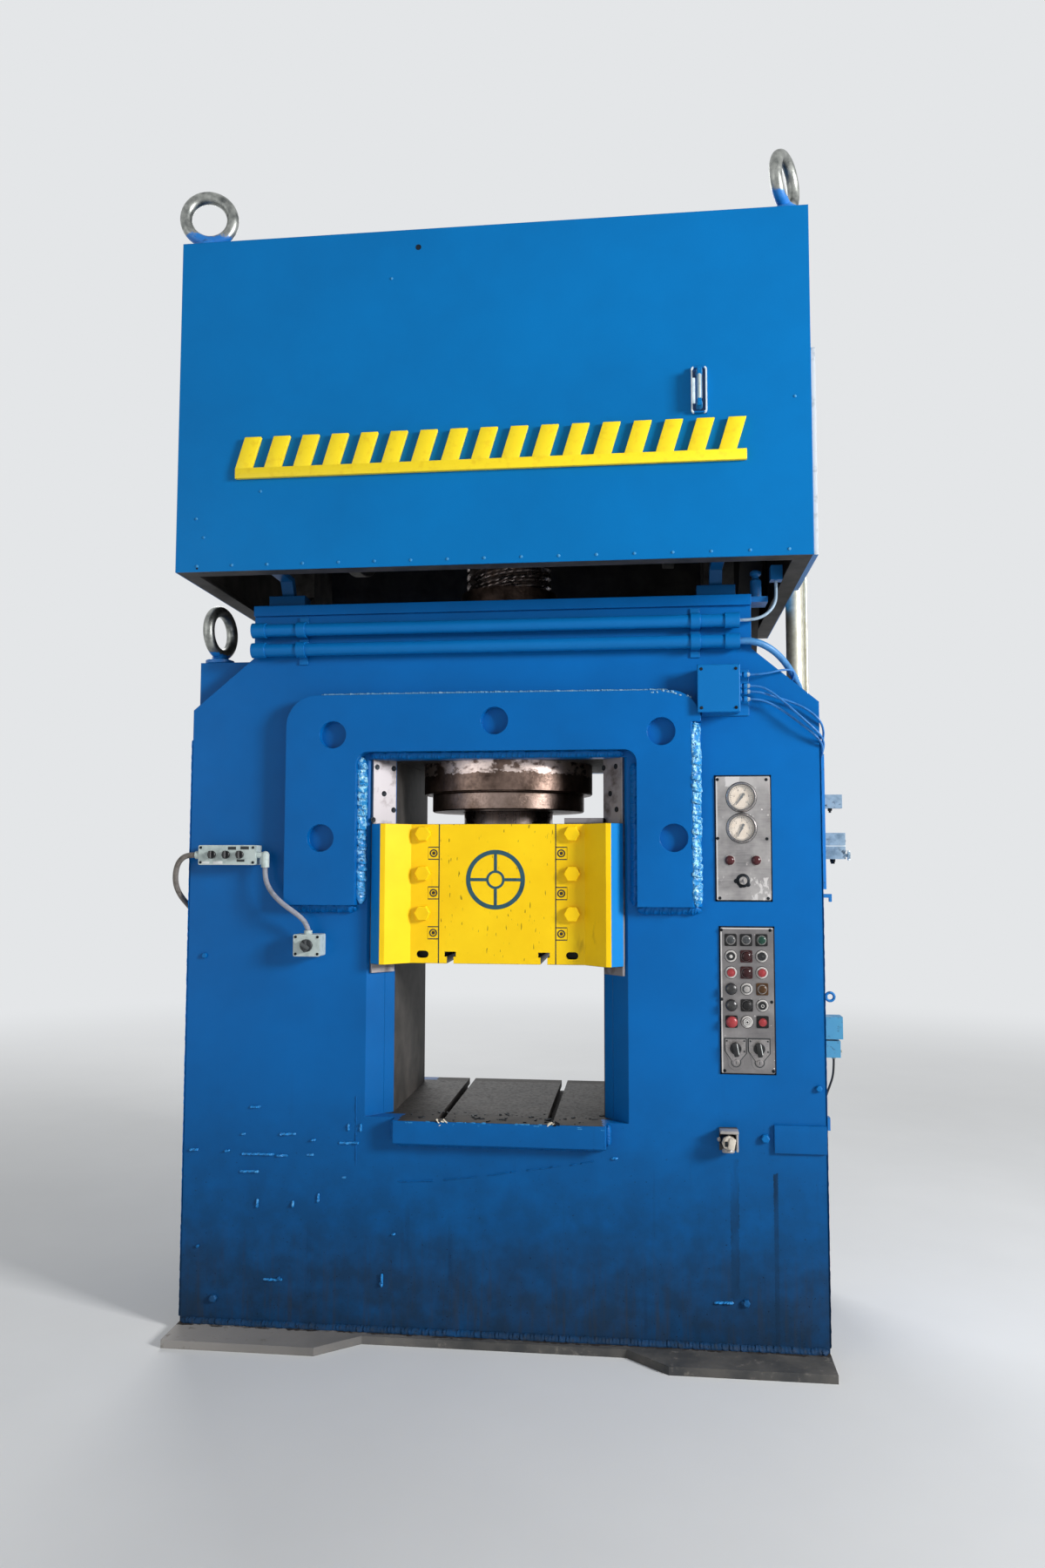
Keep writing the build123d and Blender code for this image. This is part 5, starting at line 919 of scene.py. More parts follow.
def make_sill_details():
    """The sill bar's weld, flakes of old paint on its edge, and what lies on the table's edge."""
    low, high = -321.0, 351.0
    bar_face, near = front - 45.0, front - 8
    foot = window_sill - 73.0
    seams = Piece()
    under = ((0, 1, -1), (0, -1, -1))
    seams.bead((low + 4, near, foot - 6), (high - 4, near, foot - 6), *under, 20, 7, seed=111)
    for side, x, seed in ((1, high + 6, 112), (-1, low - 6, 113)):
        beside = ((side, 1, 0), (side, -1, 0))
        seams.bead((x, near, foot + 4), (x, near, window_sill - 4), *beside, 20, 7, seed=seed)
    seams.keep("sill_weld", "blue_paint", "frame_blue", closed=False)
    flakes = Piece()
    chance = random.Random(7)
    for _ in range(26):
        x = chance.uniform(low + 8, high - 8)
        length = chance.uniform(4, 20)
        drop = chance.choice((0.0, 0.0, 4.0, 9.0))
        y, z = bar_face + 2.0 - 0.5 * (drop > 0), window_sill - 1.5 - drop
        flakes.bead((x, y, z), (min(high - 4, x + length), y, z), (0, 1, 1), (0, -1, 1),
                    chance.uniform(2, 6), chance.uniform(1, 3), 6, chance.randint(1, 999), 0.6)
    flakes.keep("sill_flakes", "blue_paint", "flake_blue", closed=False)
    # Dirt that has been pushed to the table's edge, and scraps of scale hanging at the slots
    crumbs = Piece()
    for _ in range(60):
        x = chance.uniform(-300, 330)
        y = chance.uniform(bar_face + 12, front + 90)
        size = chance.uniform(3, 9)
        bow = Matrix.Rotation(chance.uniform(0, 3), 4, "Z")
        bow = bow @ Matrix.Rotation(chance.uniform(-0.3, 0.3), 4, "X")
        levels = (window_sill - 1, window_sill + 0.4 * size)
        crumbs.block((x, x + size * chance.uniform(1, 3)), (y, y + size), levels, 0.3 * size, 0, bow)
    crumbs.keep("table_crumbs", "base_paint", "black_bolt")
    scraps = Piece()
    for slot_x, count in ((-170, 7), (186, 10)):
        for number in range(count):
            x = slot_x + chance.uniform(-14, 18)
            drop = chance.uniform(-3, 14) * (1 if number % 2 else 0.2)
            size = chance.uniform(3, 9)
            bow = Matrix.Rotation(chance.uniform(-0.9, 0.9), 4, "Y")
            bow = bow @ Matrix.Rotation(chance.uniform(-0.6, 0.6), 4, "X")
            z = window_sill + 1 - drop
            depth = (bar_face - 3 + chance.uniform(0, 4), bar_face + 8)
            scraps.block((x - size, x + size), depth, (z, z + 3), 0.8, number % 3 == 0, bow)
    scraps.keep("table_scraps", "base_paint", "scrap_cream", "black_bolt")


def make_casing_trim():
    """The plain yellow trim on the casing: a bar with a row of even slanting strips."""
    trim = Piece()
    low_x, high_x = -779.0, 780.0
    bar_low, bar_high, strip_high = 2679.0, 2711.0, 2808.0
    depth = (casing_face - 15.0, casing_face - 1.0)
    trim.block((low_x, high_x), depth, (bar_low, bar_high), 1.2)
    count, lean, width = 17, 30.0, 52.0
    pitch = (high_x - low_x - width - lean) / (count - 1)
    slant = Matrix.Identity(4)
    slant[0][2] = lean / (strip_high - bar_high + 2)
    for number in range(count):
        x = low_x + lean / 2 + number * pitch
        trim.block((x, x + width), depth, (bar_high - 2, strip_high), 1.2, turn=slant)
    trim.keep("casing_trim", "ram_paint", "sign_yellow")


def make_casing_details():
    """Screws and holes of the casing's front, the edge of its hatch, and the pull handle."""
    screws = Piece()
    for number in range(17):
        screws.screw(9, 3, (-900 + number * 112.5, casing_face, 2410))
    for x, z in ((-293, 3298), (923, 2867), (-905, 2560), (-880, 2500), (-700, 2640)):
        screws.screw(8, 3, (x, casing_face, z))
    screws.keep("casing_screws", "blue_paint", "flake_blue")
    holes = Piece()
    # The holes are dark rimmed discs: painted shade of the space behind them
    holes.turned([(0, 0.2), (6.5, 0.2), (7.5, 1.0), (9, 0.4)], (-210, casing_face, 3394), steps=20)
    holes.turned([(0, 0.3), (3.5, 0.3), (3.5, 0)], (-900, casing_face, 2403), steps=12)
    holes.keep("casing_hole", "blue_paint", "sealant_and_hole_shade", closed=False)
    edge = Piece()
    # A white strip on the hatch's front edge: painted highlight where the edge catches the light
    edge.block((970.5, 983.5), (-596.2, -594.6), (2393, 3016), 0.4)
    edge.keep("hatch_edge", "side_box", "hatch_edge_highlight")
    x, z = 643.0, 2896.0
    half_x, half_z, wall = 23.5, 70.5, 4.5
    plate_face, grip_y = casing_face - 3.0, -637.0
    inner = rounded_outline(x, z, half_x - wall, half_z - wall, 5)
    rim = Piece()
    rim.rim(rounded_outline(x, z, half_x, half_z, 9), inner, plate_face - 9, plate_face + 2)
    # The upright sides of the rim are white: partly worn paint, partly painted highlight
    for face in rim.mesh.faces:
        upright = abs(face.calc_center_median().x / MM - x) > half_x - 8
        face.material_index = 0 if upright else 1
    # A white strip inside the rim's left side: painted highlight where the light from the right falls in
    rim.block((x - 18.6, x - 11.5), (plate_face - 5, plate_face + 1), (z - 40, z + 38), 0.8)
    rim.keep("handle_rim", "side_box", "rim_white", "fitting_blue", closed=False)
    sleeve = Piece()
    profile = [(0, -38), (5.6, -38), (7.4, -35), (7.4, 35), (5.6, 38), (0, 38)]
    sleeve.turned(profile, (x, grip_y, z), steps=24, towards=UP)
    sleeve.keep("handle_sleeve", "side_box", "switch_grey")
    bosses = Piece()
    for side in (-1, 1):
        profile = [(0, 0), (10.5, 0), (9.4, 20), (8.2, 33), (0, 35.5)]
        bosses.turned(profile, (x, plate_face, z + side * 50), steps=24)
    bosses.keep("handle_bosses", "blue_paint", "handle_blue")
    well = Piece()
    # The dark blue inside the rim is painted shade
    well.plate(inner, plate_face - 0.6, plate_face + 1)
    well.keep("handle_well", "blue_paint", "handle_well_shade")


def make_ram_details():
    """Joints and locks of the ram, its centre mark and the bar lying on it."""
    lines = Piece()
    joint, half_line = 190.0, 1.8
    depth = (ram_face - 0.3, ram_face + 2)
    for side in (-1, 1):
        across = sorted((side * (joint - half_line), side * (joint + half_line)))
        lines.block(across, depth, (ram_low.z + 0.5, ram_high.z - 0.5), 0)
        for row in range(3):
            z = ram_high.z - 95 - row * 128.5
            for rise in (-19.5, 19.5):
                across = sorted((side * joint, side * (joint + 36)))
                lines.block(across, depth, (z + rise - 1.7, z + rise + 1.7), 0)
            lock = (side * (joint + 18), ram_face, z)
            lines.ring(13.0, 8.8, 0.7, lock, steps=28)
            lines.turned([(0, 0.7), (4.2, 0.7), (4.2, -1)], lock, steps=14)
    lines.keep("ram_joint_lines", "ram_paint", "label_black", body="ram")
    mark = Piece()
    x, z = -5.0, 1440.0
    mark.ring(96, 82, 0.8, (x, ram_face, z), steps=96)
    mark.ring(30, 22, 0.8, (x, ram_face, z), steps=48)
    for x0, x1, z0, z1 in ((-82, -30, -5, 5), (30, 82, -5, 5), (-5, 5, 30, 82), (-5, 5, -82, -30)):
        mark.block((x + x0, x + x1), (ram_face - 0.8, ram_face), (z + z0, z + z1), 0.2)
    mark.keep("ram_centre_mark", "ram_paint", "mark_teal", body="ram")
    bar = Piece()
    bar.block((217, 342), (ram_face + 10, ram_face + 34), (ram_high.z, ram_high.z + 19), 1.5)
    bar.keep("ram_top_bar", "rail_steel", "rail_steel", body="ram")


def make_screw_thread():
    """The spindle once more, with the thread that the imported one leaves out.

    Four right-hand starts are cut into it, which run out at both ends.
    """
    foot, screw_top = (corner.z for corner in corners("screw_spindle"))
    journal, crest, seat, neck = 155.0, 150.0, 130.0, 110.0
    thread_foot, thread_top, hub_top = 1700.0, 2700.0, 2860.0
    lead, starts, groove, run_out = 130.0, 4, 9.0, 24.0
    # The groove's floor and flanks, as shares of the way from its middle to the crest's
    flank_top, flank = 0.62, 0.3
    columns, rows = 96, 250
    outline = [(journal - 10, foot), (journal, foot + 10), (journal, thread_foot - 8)]
    outline += [(crest, thread_foot + (thread_top - thread_foot) * row / rows) for row in range(rows + 1)]
    outline += [(seat, thread_top), (seat, hub_top), (neck, hub_top)]
    outline += [(neck, screw_top - 6), (neck - 6, screw_top)]
    spindle = Piece()
    rings = []
    for radius, z in outline:
        cut = groove * max(0.0, min(1.0, (z - thread_foot) / run_out, (thread_top - z) / run_out))
        if radius != crest:
            cut = 0.0
        ring = []
        for column in range(columns):
            turn = column / columns
            from_groove = 2 * abs((starts * (z / lead - turn)) % 1.0 - 0.5)
            reach = radius - cut * min(1.0, max(0.0, (flank_top - from_groove) / flank))
            angle = 2 * math.pi * turn
            ring.append(spindle.point(reach * math.cos(angle), reach * math.sin(angle), z))
        rings.append(ring)
    spindle.mesh.faces.new(rings[0][::-1])
    spindle.mesh.faces.new(rings[-1])
    spindle.stitch(rings)
    spindle.mark(0)
    spindle.keep(
        "threaded_spindle", "screw_steel", "journal_steel", body="screw", stands_for=["screw_spindle"])


def make_rail_screws():
    """Screws sunk in the slanting faces of the guide rails, as places of X and Z."""
    screws = Piece()
    left = [(-349, 1804.5), (-374.6, 1719.7), (-348.6, 1667.4), (-403, 1633), (-394, 1806)]
    right = [(343.8, 1802), (383.6, 1803), (364.8, 1717), (385.8, 1665), (343.8, 1631)]
    middle_x, middle_y = 372.5, 294.5
    # They stay below the ram's running clearance
    profile = [(0, 0.12), (5.0, 0.12), (5.2, 0.25), (8.5, 0.25), (9.2, 0.08)]
    for (x, z), face in product(left + right, (-1, 1)):
        side = 1 if x > 0 else -1
        # The face slants so that a screw nearer the middle of the window lies deeper
        y = face * (middle_y + abs(x) - middle_x)
        screws.turned(profile, (x, y, z), steps=20, towards=(-side, face, 0))
    screws.keep("rail_screws", "bolt_steel", "black_bolt", closed=False)


# Controls
def grid(column, row, out=0.0):
    """The middle of a control on the button panel, as far out as given."""
    middle_x, top_z, column_pitch, row_pitch = 785, 1257, 47.2, 50.1
    return middle_x + (column - 1) * column_pitch, panel_face - out, top_z - row * row_pitch


def make_button_frames():
    frames = Piece()
    collar = [(12.6, 0), (18.2, 0), (18.2, 3.4), (16.8, 5.4), (13.6, 5.4), (12.6, 4.6), (12.6, 0)]
    for place in ((0, 1), (2, 1), (0, 2), (2, 2), (1, 3), (2, 4), (1, 5)):
        frames.turned(collar, grid(*place), steps=48)
        # A thin dark ring on the panel round each collar: painted contact shadow
        frames.turned([(18.0, 0), (19.6, 0), (19.6, 0.8), (18.0, 1.0)], grid(*place), 1, 48)
    for column, row, finish in (
            (0, 0, 1), (1, 0, 1), (2, 0, 1), (1, 1, 2), (1, 2, 2), (2, 3, 3), (1, 4, 1), (0, 5, 1),
            (2, 5, 1)):
        frames.bezel(18.6, 12.5 if row == 5 else 15.4, 5.5, grid(column, row), finish)
    collar = [(12.6, 0), (18.0, 0), (18.0, 3.4), (16.8, 5.4), (12.6, 5.4), (12.6, 0)]
    for row in (3, 4):
        frames.turned(collar, grid(0, row), 1, 48)
    frames.keep("button_frames", "black_plastic", "ring_white", "bezel_black", "lens_red", "lens_amber")


def make_mushrooms():
    """The three palm buttons: a round crown on a neck, each pressed on its own."""
    crown = [(0, 3), (8.5, 3), (8.5, 11), (16.0, 11.4), (17.6, 12.6), (17.4, 14.6)]
    for step in range(1, 9):
        angle = math.radians(11.25 * step)
        crown.append((17.4 * math.cos(angle) if step < 8 else 0, 14.6 + 8.6 * math.sin(angle)))
    for name, row, finish in (
            ("mushroom_upper", 3, "dome_grey"), ("mushroom_lower", 4, "dome_grey"),
            ("mushroom_red", 5, "red_plastic")):
        button = Piece()
        button.turned(crown, grid(0, row), steps=48)
        button.keep(name + "_crown", "black_plastic", finish, body=name, stands_for=[name])


def shield_outline(x, grow=0.0):
    """The selector's shield: square shoulders, cut off to a round end with the lock."""
    z = selector_z
    side, round_end = 31 + grow, 12.5 + grow
    top = z + 28.5 + grow
    points = [(x - side, top), (x + side, top), (x + side, z - 15), (x + 14 + grow, z - 35)]
    for step in range(9):
        angle = math.radians(20 - 27.5 * step)
        points.append((x + 1 + round_end * math.cos(angle), z - 42 + round_end * math.sin(angle)))
    points.append((x - side, z - 8))
    return points


def make_selectors():
    """The two selector switches, each a shield plate with its lock and a black handle that turns."""
    z = selector_z
    shields = Piece()
    for x in selector_places.values():
        # A dark plate a little larger than each shield shows round its edge: painted shadow
        shields.plate(shield_outline(x, 3.2), panel_face - 2.6, panel_face, 1)
        shields.plate(shield_outline(x), panel_face - 3.6, panel_face - 2.5)
        lock = [(0, 0), (9.5, 0), (9.5, 4.4), (8.2, 5.8), (0, 5.8)]
        shields.turned(lock, (x + 1, panel_face, z - 43), steps=32)
        shields.block((x + 0.2, x + 1.8), (panel_face - 6.2, panel_face - 5.2), (z - 48, z - 38), 0, 1)
        for side, rise in ((-1, 23), (1, 23), (1, -9)):
            shields.screw(5.6, 1.8, (x + side * 26.5, panel_face - 3.6, z + rise), 1)
    shields.keep("selector_shields", "panel_steel", "shield_zinc", "label_black")
    lever = Matrix.Rotation(math.radians(-10), 4, "Y")
    for name, x in selector_places.items():
        handle = Piece()
        handle.turned([(0, 3.8), (17.5, 3.8), (17.5, 7.6), (15.6, 9.4), (0, 9.4)], (x, panel_face, z))
        handle.block((x - 8.5, x + 6.0), (panel_face - 25.5, panel_face - 9), (z - 23, z + 20), 3.0, 0, lever)
        mark_depth = (panel_face - 25.8, panel_face - 12)
        handle.block((x + 4.4, x + 6.8), mark_depth, (z - 15, z + 17), 0.8, 1, lever)
        handle.keep(name + "_handle", "black_plastic", "black_plastic", "label_white", body=name)
    grip = Piece()
    x, z = -601.0, 1230.0
    lever = Matrix.Rotation(math.radians(35), 4, "Y")
    grip.block((x - 17, x + 15), (-411, -398), (z - 5.5, z + 5.5), 2.4, 0, lever)
    grip.keep("small_box_knob_grip", "black_plastic", "grip_grey", body="small_box_knob")


def make_lamps():
    lamps = Piece()
    for column, row, finish in ((0, 0, 0), (1, 0, 0), (2, 0, 1), (1, 1, 2), (1, 2, 2), (2, 3, 3), (1, 4, 4)):
        lamps.dome(14.6, 7, 13.5, grid(column, row), finish)
        if row == 0 or finish == 3:
            lamps.ring(13.4, 11.6, 3.2, grid(column, row, 7.2), 5)
    lamps.keep(
        "panel_lamps", "lens_plastic", "lens_grey", "lens_green", "lens_red", "lens_amber", "bezel_black",
        "silver_plastic", stands_for=["panel_lenses"])
    lamps = Piece()
    lamp_z = 1503.5
    for x in (737.5, 818.5):
        at = (x, panel_face, lamp_z)
        lamps.dome(14.6, 13, 22, at)
        lamps.turned([(14.6, 0), (17.4, 0), (17.4, 3.0), (16.4, 4.2), (14.6, 4.2)], at, 1)
    lamps.keep("gauge_lamps", "lens_plastic", "lens_wine", "silver_plastic", stands_for=["panel_lenses"])
    glasses = Piece()
    for z in gauge_levels:
        glasses.turned([(0, 12), (38.8, 12), (38.8, 14), (0, 14)], (gauge_x, panel_face, z), steps=64)
    glasses.keep("gauge_glasses", "lens_plastic", "clear_glass", stands_for=["panel_lenses"])


def make_dials():
    """The scale of each gauge, up to its highest figure, and its chromed rim."""
    dials = Piece()
    face = panel_face - 5.0
    for z, top, step in zip(gauge_levels, (10, 6), (2, 1)):
        dials.turned([(0, 4.9), (38.7, 4.9), (38.7, 4.1)], (gauge_x, panel_face, z), steps=64)
        marks = 5 * (top // step)
        for number in range(marks + 1):
            angle = math.radians(-135 + 270 * number / marks)
            major = number % 5 == 0
            length, width = (7.0, 1.3) if major else (4.0, 0.7)
            reach = 35 - length / 2
            x, height = gauge_x + reach * math.sin(angle), z + reach * math.cos(angle)
            across = (x - width / 2, x + width / 2)
            upright = (height - length / 2, height + length / 2)
            dials.block(across, (face - 0.3, face), upright, 0, 1, Matrix.Rotation(angle, 4, "Y"))
            if major:
                at = (gauge_x + 23 * math.sin(angle), face - 0.2, z + 23 * math.cos(angle))
                dials.figures(str(step * number // 5), 8.5, at, 1)
        dials.ring(35.4, 34.7, 0.3, (gauge_x, face, z), 1, 72)
    dials.keep("gauge_dials", "panel_steel", "printed_dial", "dial_ink")
    rims = Piece()
    flange = [
        (44.2, 0), (46.5, 0.2), (46.5, 3.0), (44.6, 4.4), (44.6, 13.5), (42.6, 16.4), (40.2, 16.4),
        (38.9, 15.0), (38.9, 14.2)]
    for z in gauge_levels:
        at = (gauge_x, panel_face, z)
        rims.turned(flange, at, steps=72)
        # Painted shade: a dark ring on the panel round the flange's foot, and a dark lip round the glass
        rims.turned([(46.2, 0), (48.4, 0), (48.4, 0.9), (46.2, 1.2)], at, 1, 72)
        rims.turned([(41.4, 16.7), (39.4, 16.0), (38.4, 14.4)], at, 1, 72)
    rims.keep("gauge_rims", "panel_steel", "rim_chrome", "label_black", closed=False)


def make_pointers():
    """The painted blade of each gauge pointer, with its counterweight."""
    for name, z, degrees in zip(("gauge_pointer_upper", "gauge_pointer_lower"), gauge_levels, (215, 205)):
        angle = math.radians(degrees)
        along = Vector((math.sin(angle), 0, math.cos(angle)))
        aside = Vector((math.cos(angle), 0, -math.sin(angle)))
        middle = Vector((gauge_x, panel_face - 8.4, z))
        edge = [middle + along * run + aside * half for run, half in (
            (-12, 2.8), (2, 3.0), (30, 0.9), (30, -0.9), (2, -3.0), (-12, -2.8))]
        pointer = Piece()
        pointer.plate([(point.x, point.z) for point in edge], panel_face - 9.6, panel_face - 8.4)
        pointer.turned([(0, 0), (4.6, 0), (4.6, 1.4), (0, 1.8)], middle - along * 10, steps=24)
        pointer.keep(name + "_blade", "black_plastic", "black_plastic", body=name)


def make_panel_trim():
    """The dark sealant round the panels, their screws and the collar of the key switch."""
    trim = Piece()
    overlap, width = 4.6, 6
    y = (front - 2.0, front)
    for low, high in ((gauge_low, gauge_high), (buttons_low, buttons_high)):
        x = (low.x - overlap, high.x + overlap)
        z = (low.z - overlap, high.z + overlap)
        trim.block(x, y, (z[0], z[0] + width), 0.6)
        trim.block(x, y, (z[1] - width, z[1]), 0.6)
        trim.block((x[0], x[0] + width), y, z, 0.6)
        trim.block((x[1] - width, x[1]), y, z, 0.6)
    trim.keep("panel_sealant", "blue_paint", "sealant_and_hole_shade")
    screws = Piece()
    places = [
        (702.7, 1756.7), (853.2, 1755.7), (702, 1572), (853.3, 1570.6), (706.7, 1386), (854.8, 1385.5),
        (709.7, 1287.5), (858.7, 1287.5), (708.7, 1074.4), (860.9, 1067.5), (715.5, 856.6), (863.2, 857.4)]
    for number, (x, z) in enumerate(places):
        screws.screw(10, 3.4, (x, panel_face, z), slot=30 + 70 * number)
    screws.keep("panel_screws", "bolt_steel", "black_bolt")
    collar = Piece()
    collar.turned([(12.8, 5), (17.2, 5), (17.2, 6.4), (15.4, 7.6), (12.8, 7.6)], key_switch)
    collar.turned([(0, 4.8), (21.5, 0), (21.5, 2.2), (19, 5.4), (0, 5.4)], key_switch)
    for degrees, far in ((184, 21), (246, 17), (322, 20)):
        reach = Vector((math.cos(math.radians(degrees)), 0, math.sin(math.radians(degrees)))) * far
        collar.turned([(0, 0), (7, 0), (7, 4), (5, 5.2), (0, 5.2)], key_switch + reach, steps=20)
    collar.keep("key_switch_collar", "key_steel", "black_bolt")


def make_button_faces():
    """Rings and centres on the caps, each riding on its own button."""
    black, white, red, grey = "black_plastic", "ring_white", "red_plastic", "knob_grey"
    for name, column, row, rings in (
            ("button_upper_left", 0, 1, [(11.6, 5.4, black), (5.4, 0, white)]),
            ("button_upper_right", 2, 1, [(11.6, 5.0, black), (5.0, 0, black)]),
            ("button_red_left", 0, 2, [(11.6, 8.8, red), (8.2, 0, red)]),
            ("button_red_right", 2, 2, [(11.6, 8.8, red), (8.2, 0, red)]),
            ("button_silver", 1, 3, [(11.8, 9.6, grey), (9.6, 0, "silver_plastic")]),
            ("button_lower_right", 2, 4, [(11.6, 5.0, black), (5.0, 3.2, white), (3.2, 0, black)]),
            ("button_bottom_middle", 1, 5, [
                (11.8, 8.4, white), (8.4, 6.8, grey), (6.8, 3.4, white), (3.4, 0, black)]),
            ("button_bottom_right", 2, 5, [(11.8, 9.2, red), (8.8, 0, red)])):
        cap = Piece()
        at = grid(column, row, 13.0)
        for number, (outer, inner, _) in enumerate(rings):
            if inner:
                cap.ring(outer, inner, 0.7, at, number)
            else:
                cap.turned([(outer, 0), (outer, 0.5), (outer - 0.6, 0.9), (0, 0.9)], at, number, 32)
        cap.keep(name + "_face", "black_plastic", *(ring[2] for ring in rings), body=name, closed=False)


def make_box_details():
    """Screws, glands and labels of the junction box and the switch boxes."""
    screws = Piece()
    for x, z in product((653.0, 759.0), (1976.0, 2098.0)):
        screws.screw(10, 3, (x, -393.0, z), slot=40)
    screws.keep("junction_screws", "bolt_steel", "black_bolt")
    glands = Piece()
    for z in (2084, 2048, 2030, 2006):
        for profile, finish, steps in (
                ([(9.2, 0), (11.2, 0), (11.2, 8), (9.2, 9.5)], 0, 6),
                ([(8.4, 14), (9.8, 15), (9.8, 24), (8.4, 26)], 0, 24),
                ([(6.2, 26), (7.6, 27), (6.4, 34), (4.2, 35)], 1, 20)):
            glands.turned(profile, (770, -357, z), finish, steps, RIGHT)
    glands.keep("junction_glands", "blue_paint", "fitting_blue", "hose_pale", closed=False)
    screws = Piece()
    wide_box_face, small_box_face = -385.0, -387.0
    for x, z in product((-960.0, -784.0), (1494.0, 1542.0)):
        screws.screw(9, 2.4, (x, wide_box_face, z), slot=45)
    for x, z in product((-637.0, -565.0), (1203.0, 1257.0)):
        screws.screw(9, 2.4, (x, small_box_face, z), slot=45)
    screws.keep("switch_box_screws", "bolt_steel", "black_bolt")
    labels = Piece()
    for x, z, finish in (
            ((-868, -841), (1535, 1545), 0), ((-826, -798), (1536, 1546), 0), ((-838, -812), (1496, 1504), 0),
            ((-918, -886), (1489, 1498), 1), ((-958, -930), (1490, 1497), 1)):
        labels.block(x, (wide_box_face - 0.7, wide_box_face), z, 0.3, finish)
    labels.keep("switch_box_labels", "black_plastic", "label_black", "label_white")


def make_side_details():
    """Fittings on the right side wall and the coupling on the front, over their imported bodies."""
    side_y = -175.0
    # The switch case: the joint between its lid and body, and its plunger
    trim = Piece()
    trim.block((1034, 1112.8), (side_y - 40.8, side_y + 40.8), (1548.6, 1551.4), 0)
    trim.turned([(0, 0), (3.8, 0), (3.8, 17), (0, 17)], (1112, side_y, 1520), steps=20, towards=RIGHT)
    trim.block((1125.4, 1132.6), (side_y - 7, side_y + 7), (1504, 1536), 2.0)
    trim.keep("switch_case_trim", "side_box", "rim_white")
    # Screws and glands of the cases
    screws = Piece()
    for z, y in product((1534, 1566), (side_y - 26, side_y + 26)):
        screws.screw(9, 3, (1112, y, z), slot=35, towards=RIGHT)
    for y in (side_y - 12, side_y + 12):
        gland = [(0, 0), (6.5, 0), (6.5, 8), (4.5, 10), (4.5, 15), (0, 15)]
        screws.turned(gland, (1078, y, 1508), steps=20, towards=DOWN)
    for z in (1664, 1724):
        screws.hexagon(11, 6, (1042, side_y - 40, z))
    gland = [(0, 0), (7, 0), (7, 7), (4, 9), (4, 14), (0, 14)]
    screws.turned(gland, (1072, side_y, 1672), steps=20, towards=DOWN)
    screws.keep("side_case_screws", "bolt_steel", "black_bolt")
    screws = Piece()
    for z, y in product((900, 990), (side_y - 22, side_y + 22)):
        screws.screw(8, 3, (1090, y, z), slot=60, towards=RIGHT)
    gland = [(0, 0), (8, 0), (8, 6), (6, 8), (6, 13), (0, 13)]
    screws.turned(gland, (1070, side_y, 886), steps=20, towards=DOWN)
    screws.keep("limit_case_screws", "bolt_steel", "galvanised_pipe")
    # The coupling: a bracket with a strap, a cream valve body and a dark throat
    x, y, z = 724.0, front - 6.0, 650.0
    bracket = Piece()
    bracket.block((x - 27, x + 29), (y - 44, y - 2), (z + 24, z + 33), 2.0)
    bracket.block((x + 21, x + 28), (y - 40, y - 2), (z - 30, z + 26), 2.5)
    pin = [(0, 0), (6.5, 0), (6.5, 5), (4.5, 7), (0, 7)]
    bracket.turned(pin, (x - 27, y - 22, z + 4), steps=20, towards=(-1, -0.4, 0))
    drain = [(0, 0), (17, 0), (19, 4), (19, 10), (15, 13), (0, 13)]
    bracket.turned(drain, (x - 2, y - 28, z - 22), steps=28, towards=(0, -0.25, -1))
    bracket.keep("coupling_bracket", "side_box", "silver_plastic")
    valve = Piece()
    valve.turned([(0, 40), (19, 40), (21, 43), (21, 52), (16, 56), (0, 56)], (x - 2, y, z), steps=8)
    valve.block((x - 4, x + 17), (y - 61, y - 50), (z - 19, z + 15), 4.0, 0, Matrix.Rotation(0.2, 4, "Y"))
    valve.keep("coupling_body", "side_box", "coupling_cream")
    throat = Piece()
    profile = [(0, 2), (24.5, 2), (24.5, 18), (22, 22), (22, 40), (0, 41)]
    throat.turned(profile, (x - 2, y, z - 2), steps=32)
    throat.block((x - 14, x - 5), (y - 58.5, y - 50), (z - 10, z + 6), 2.0)
    throat.keep("coupling_throat", "bolt_steel", "black_bolt")


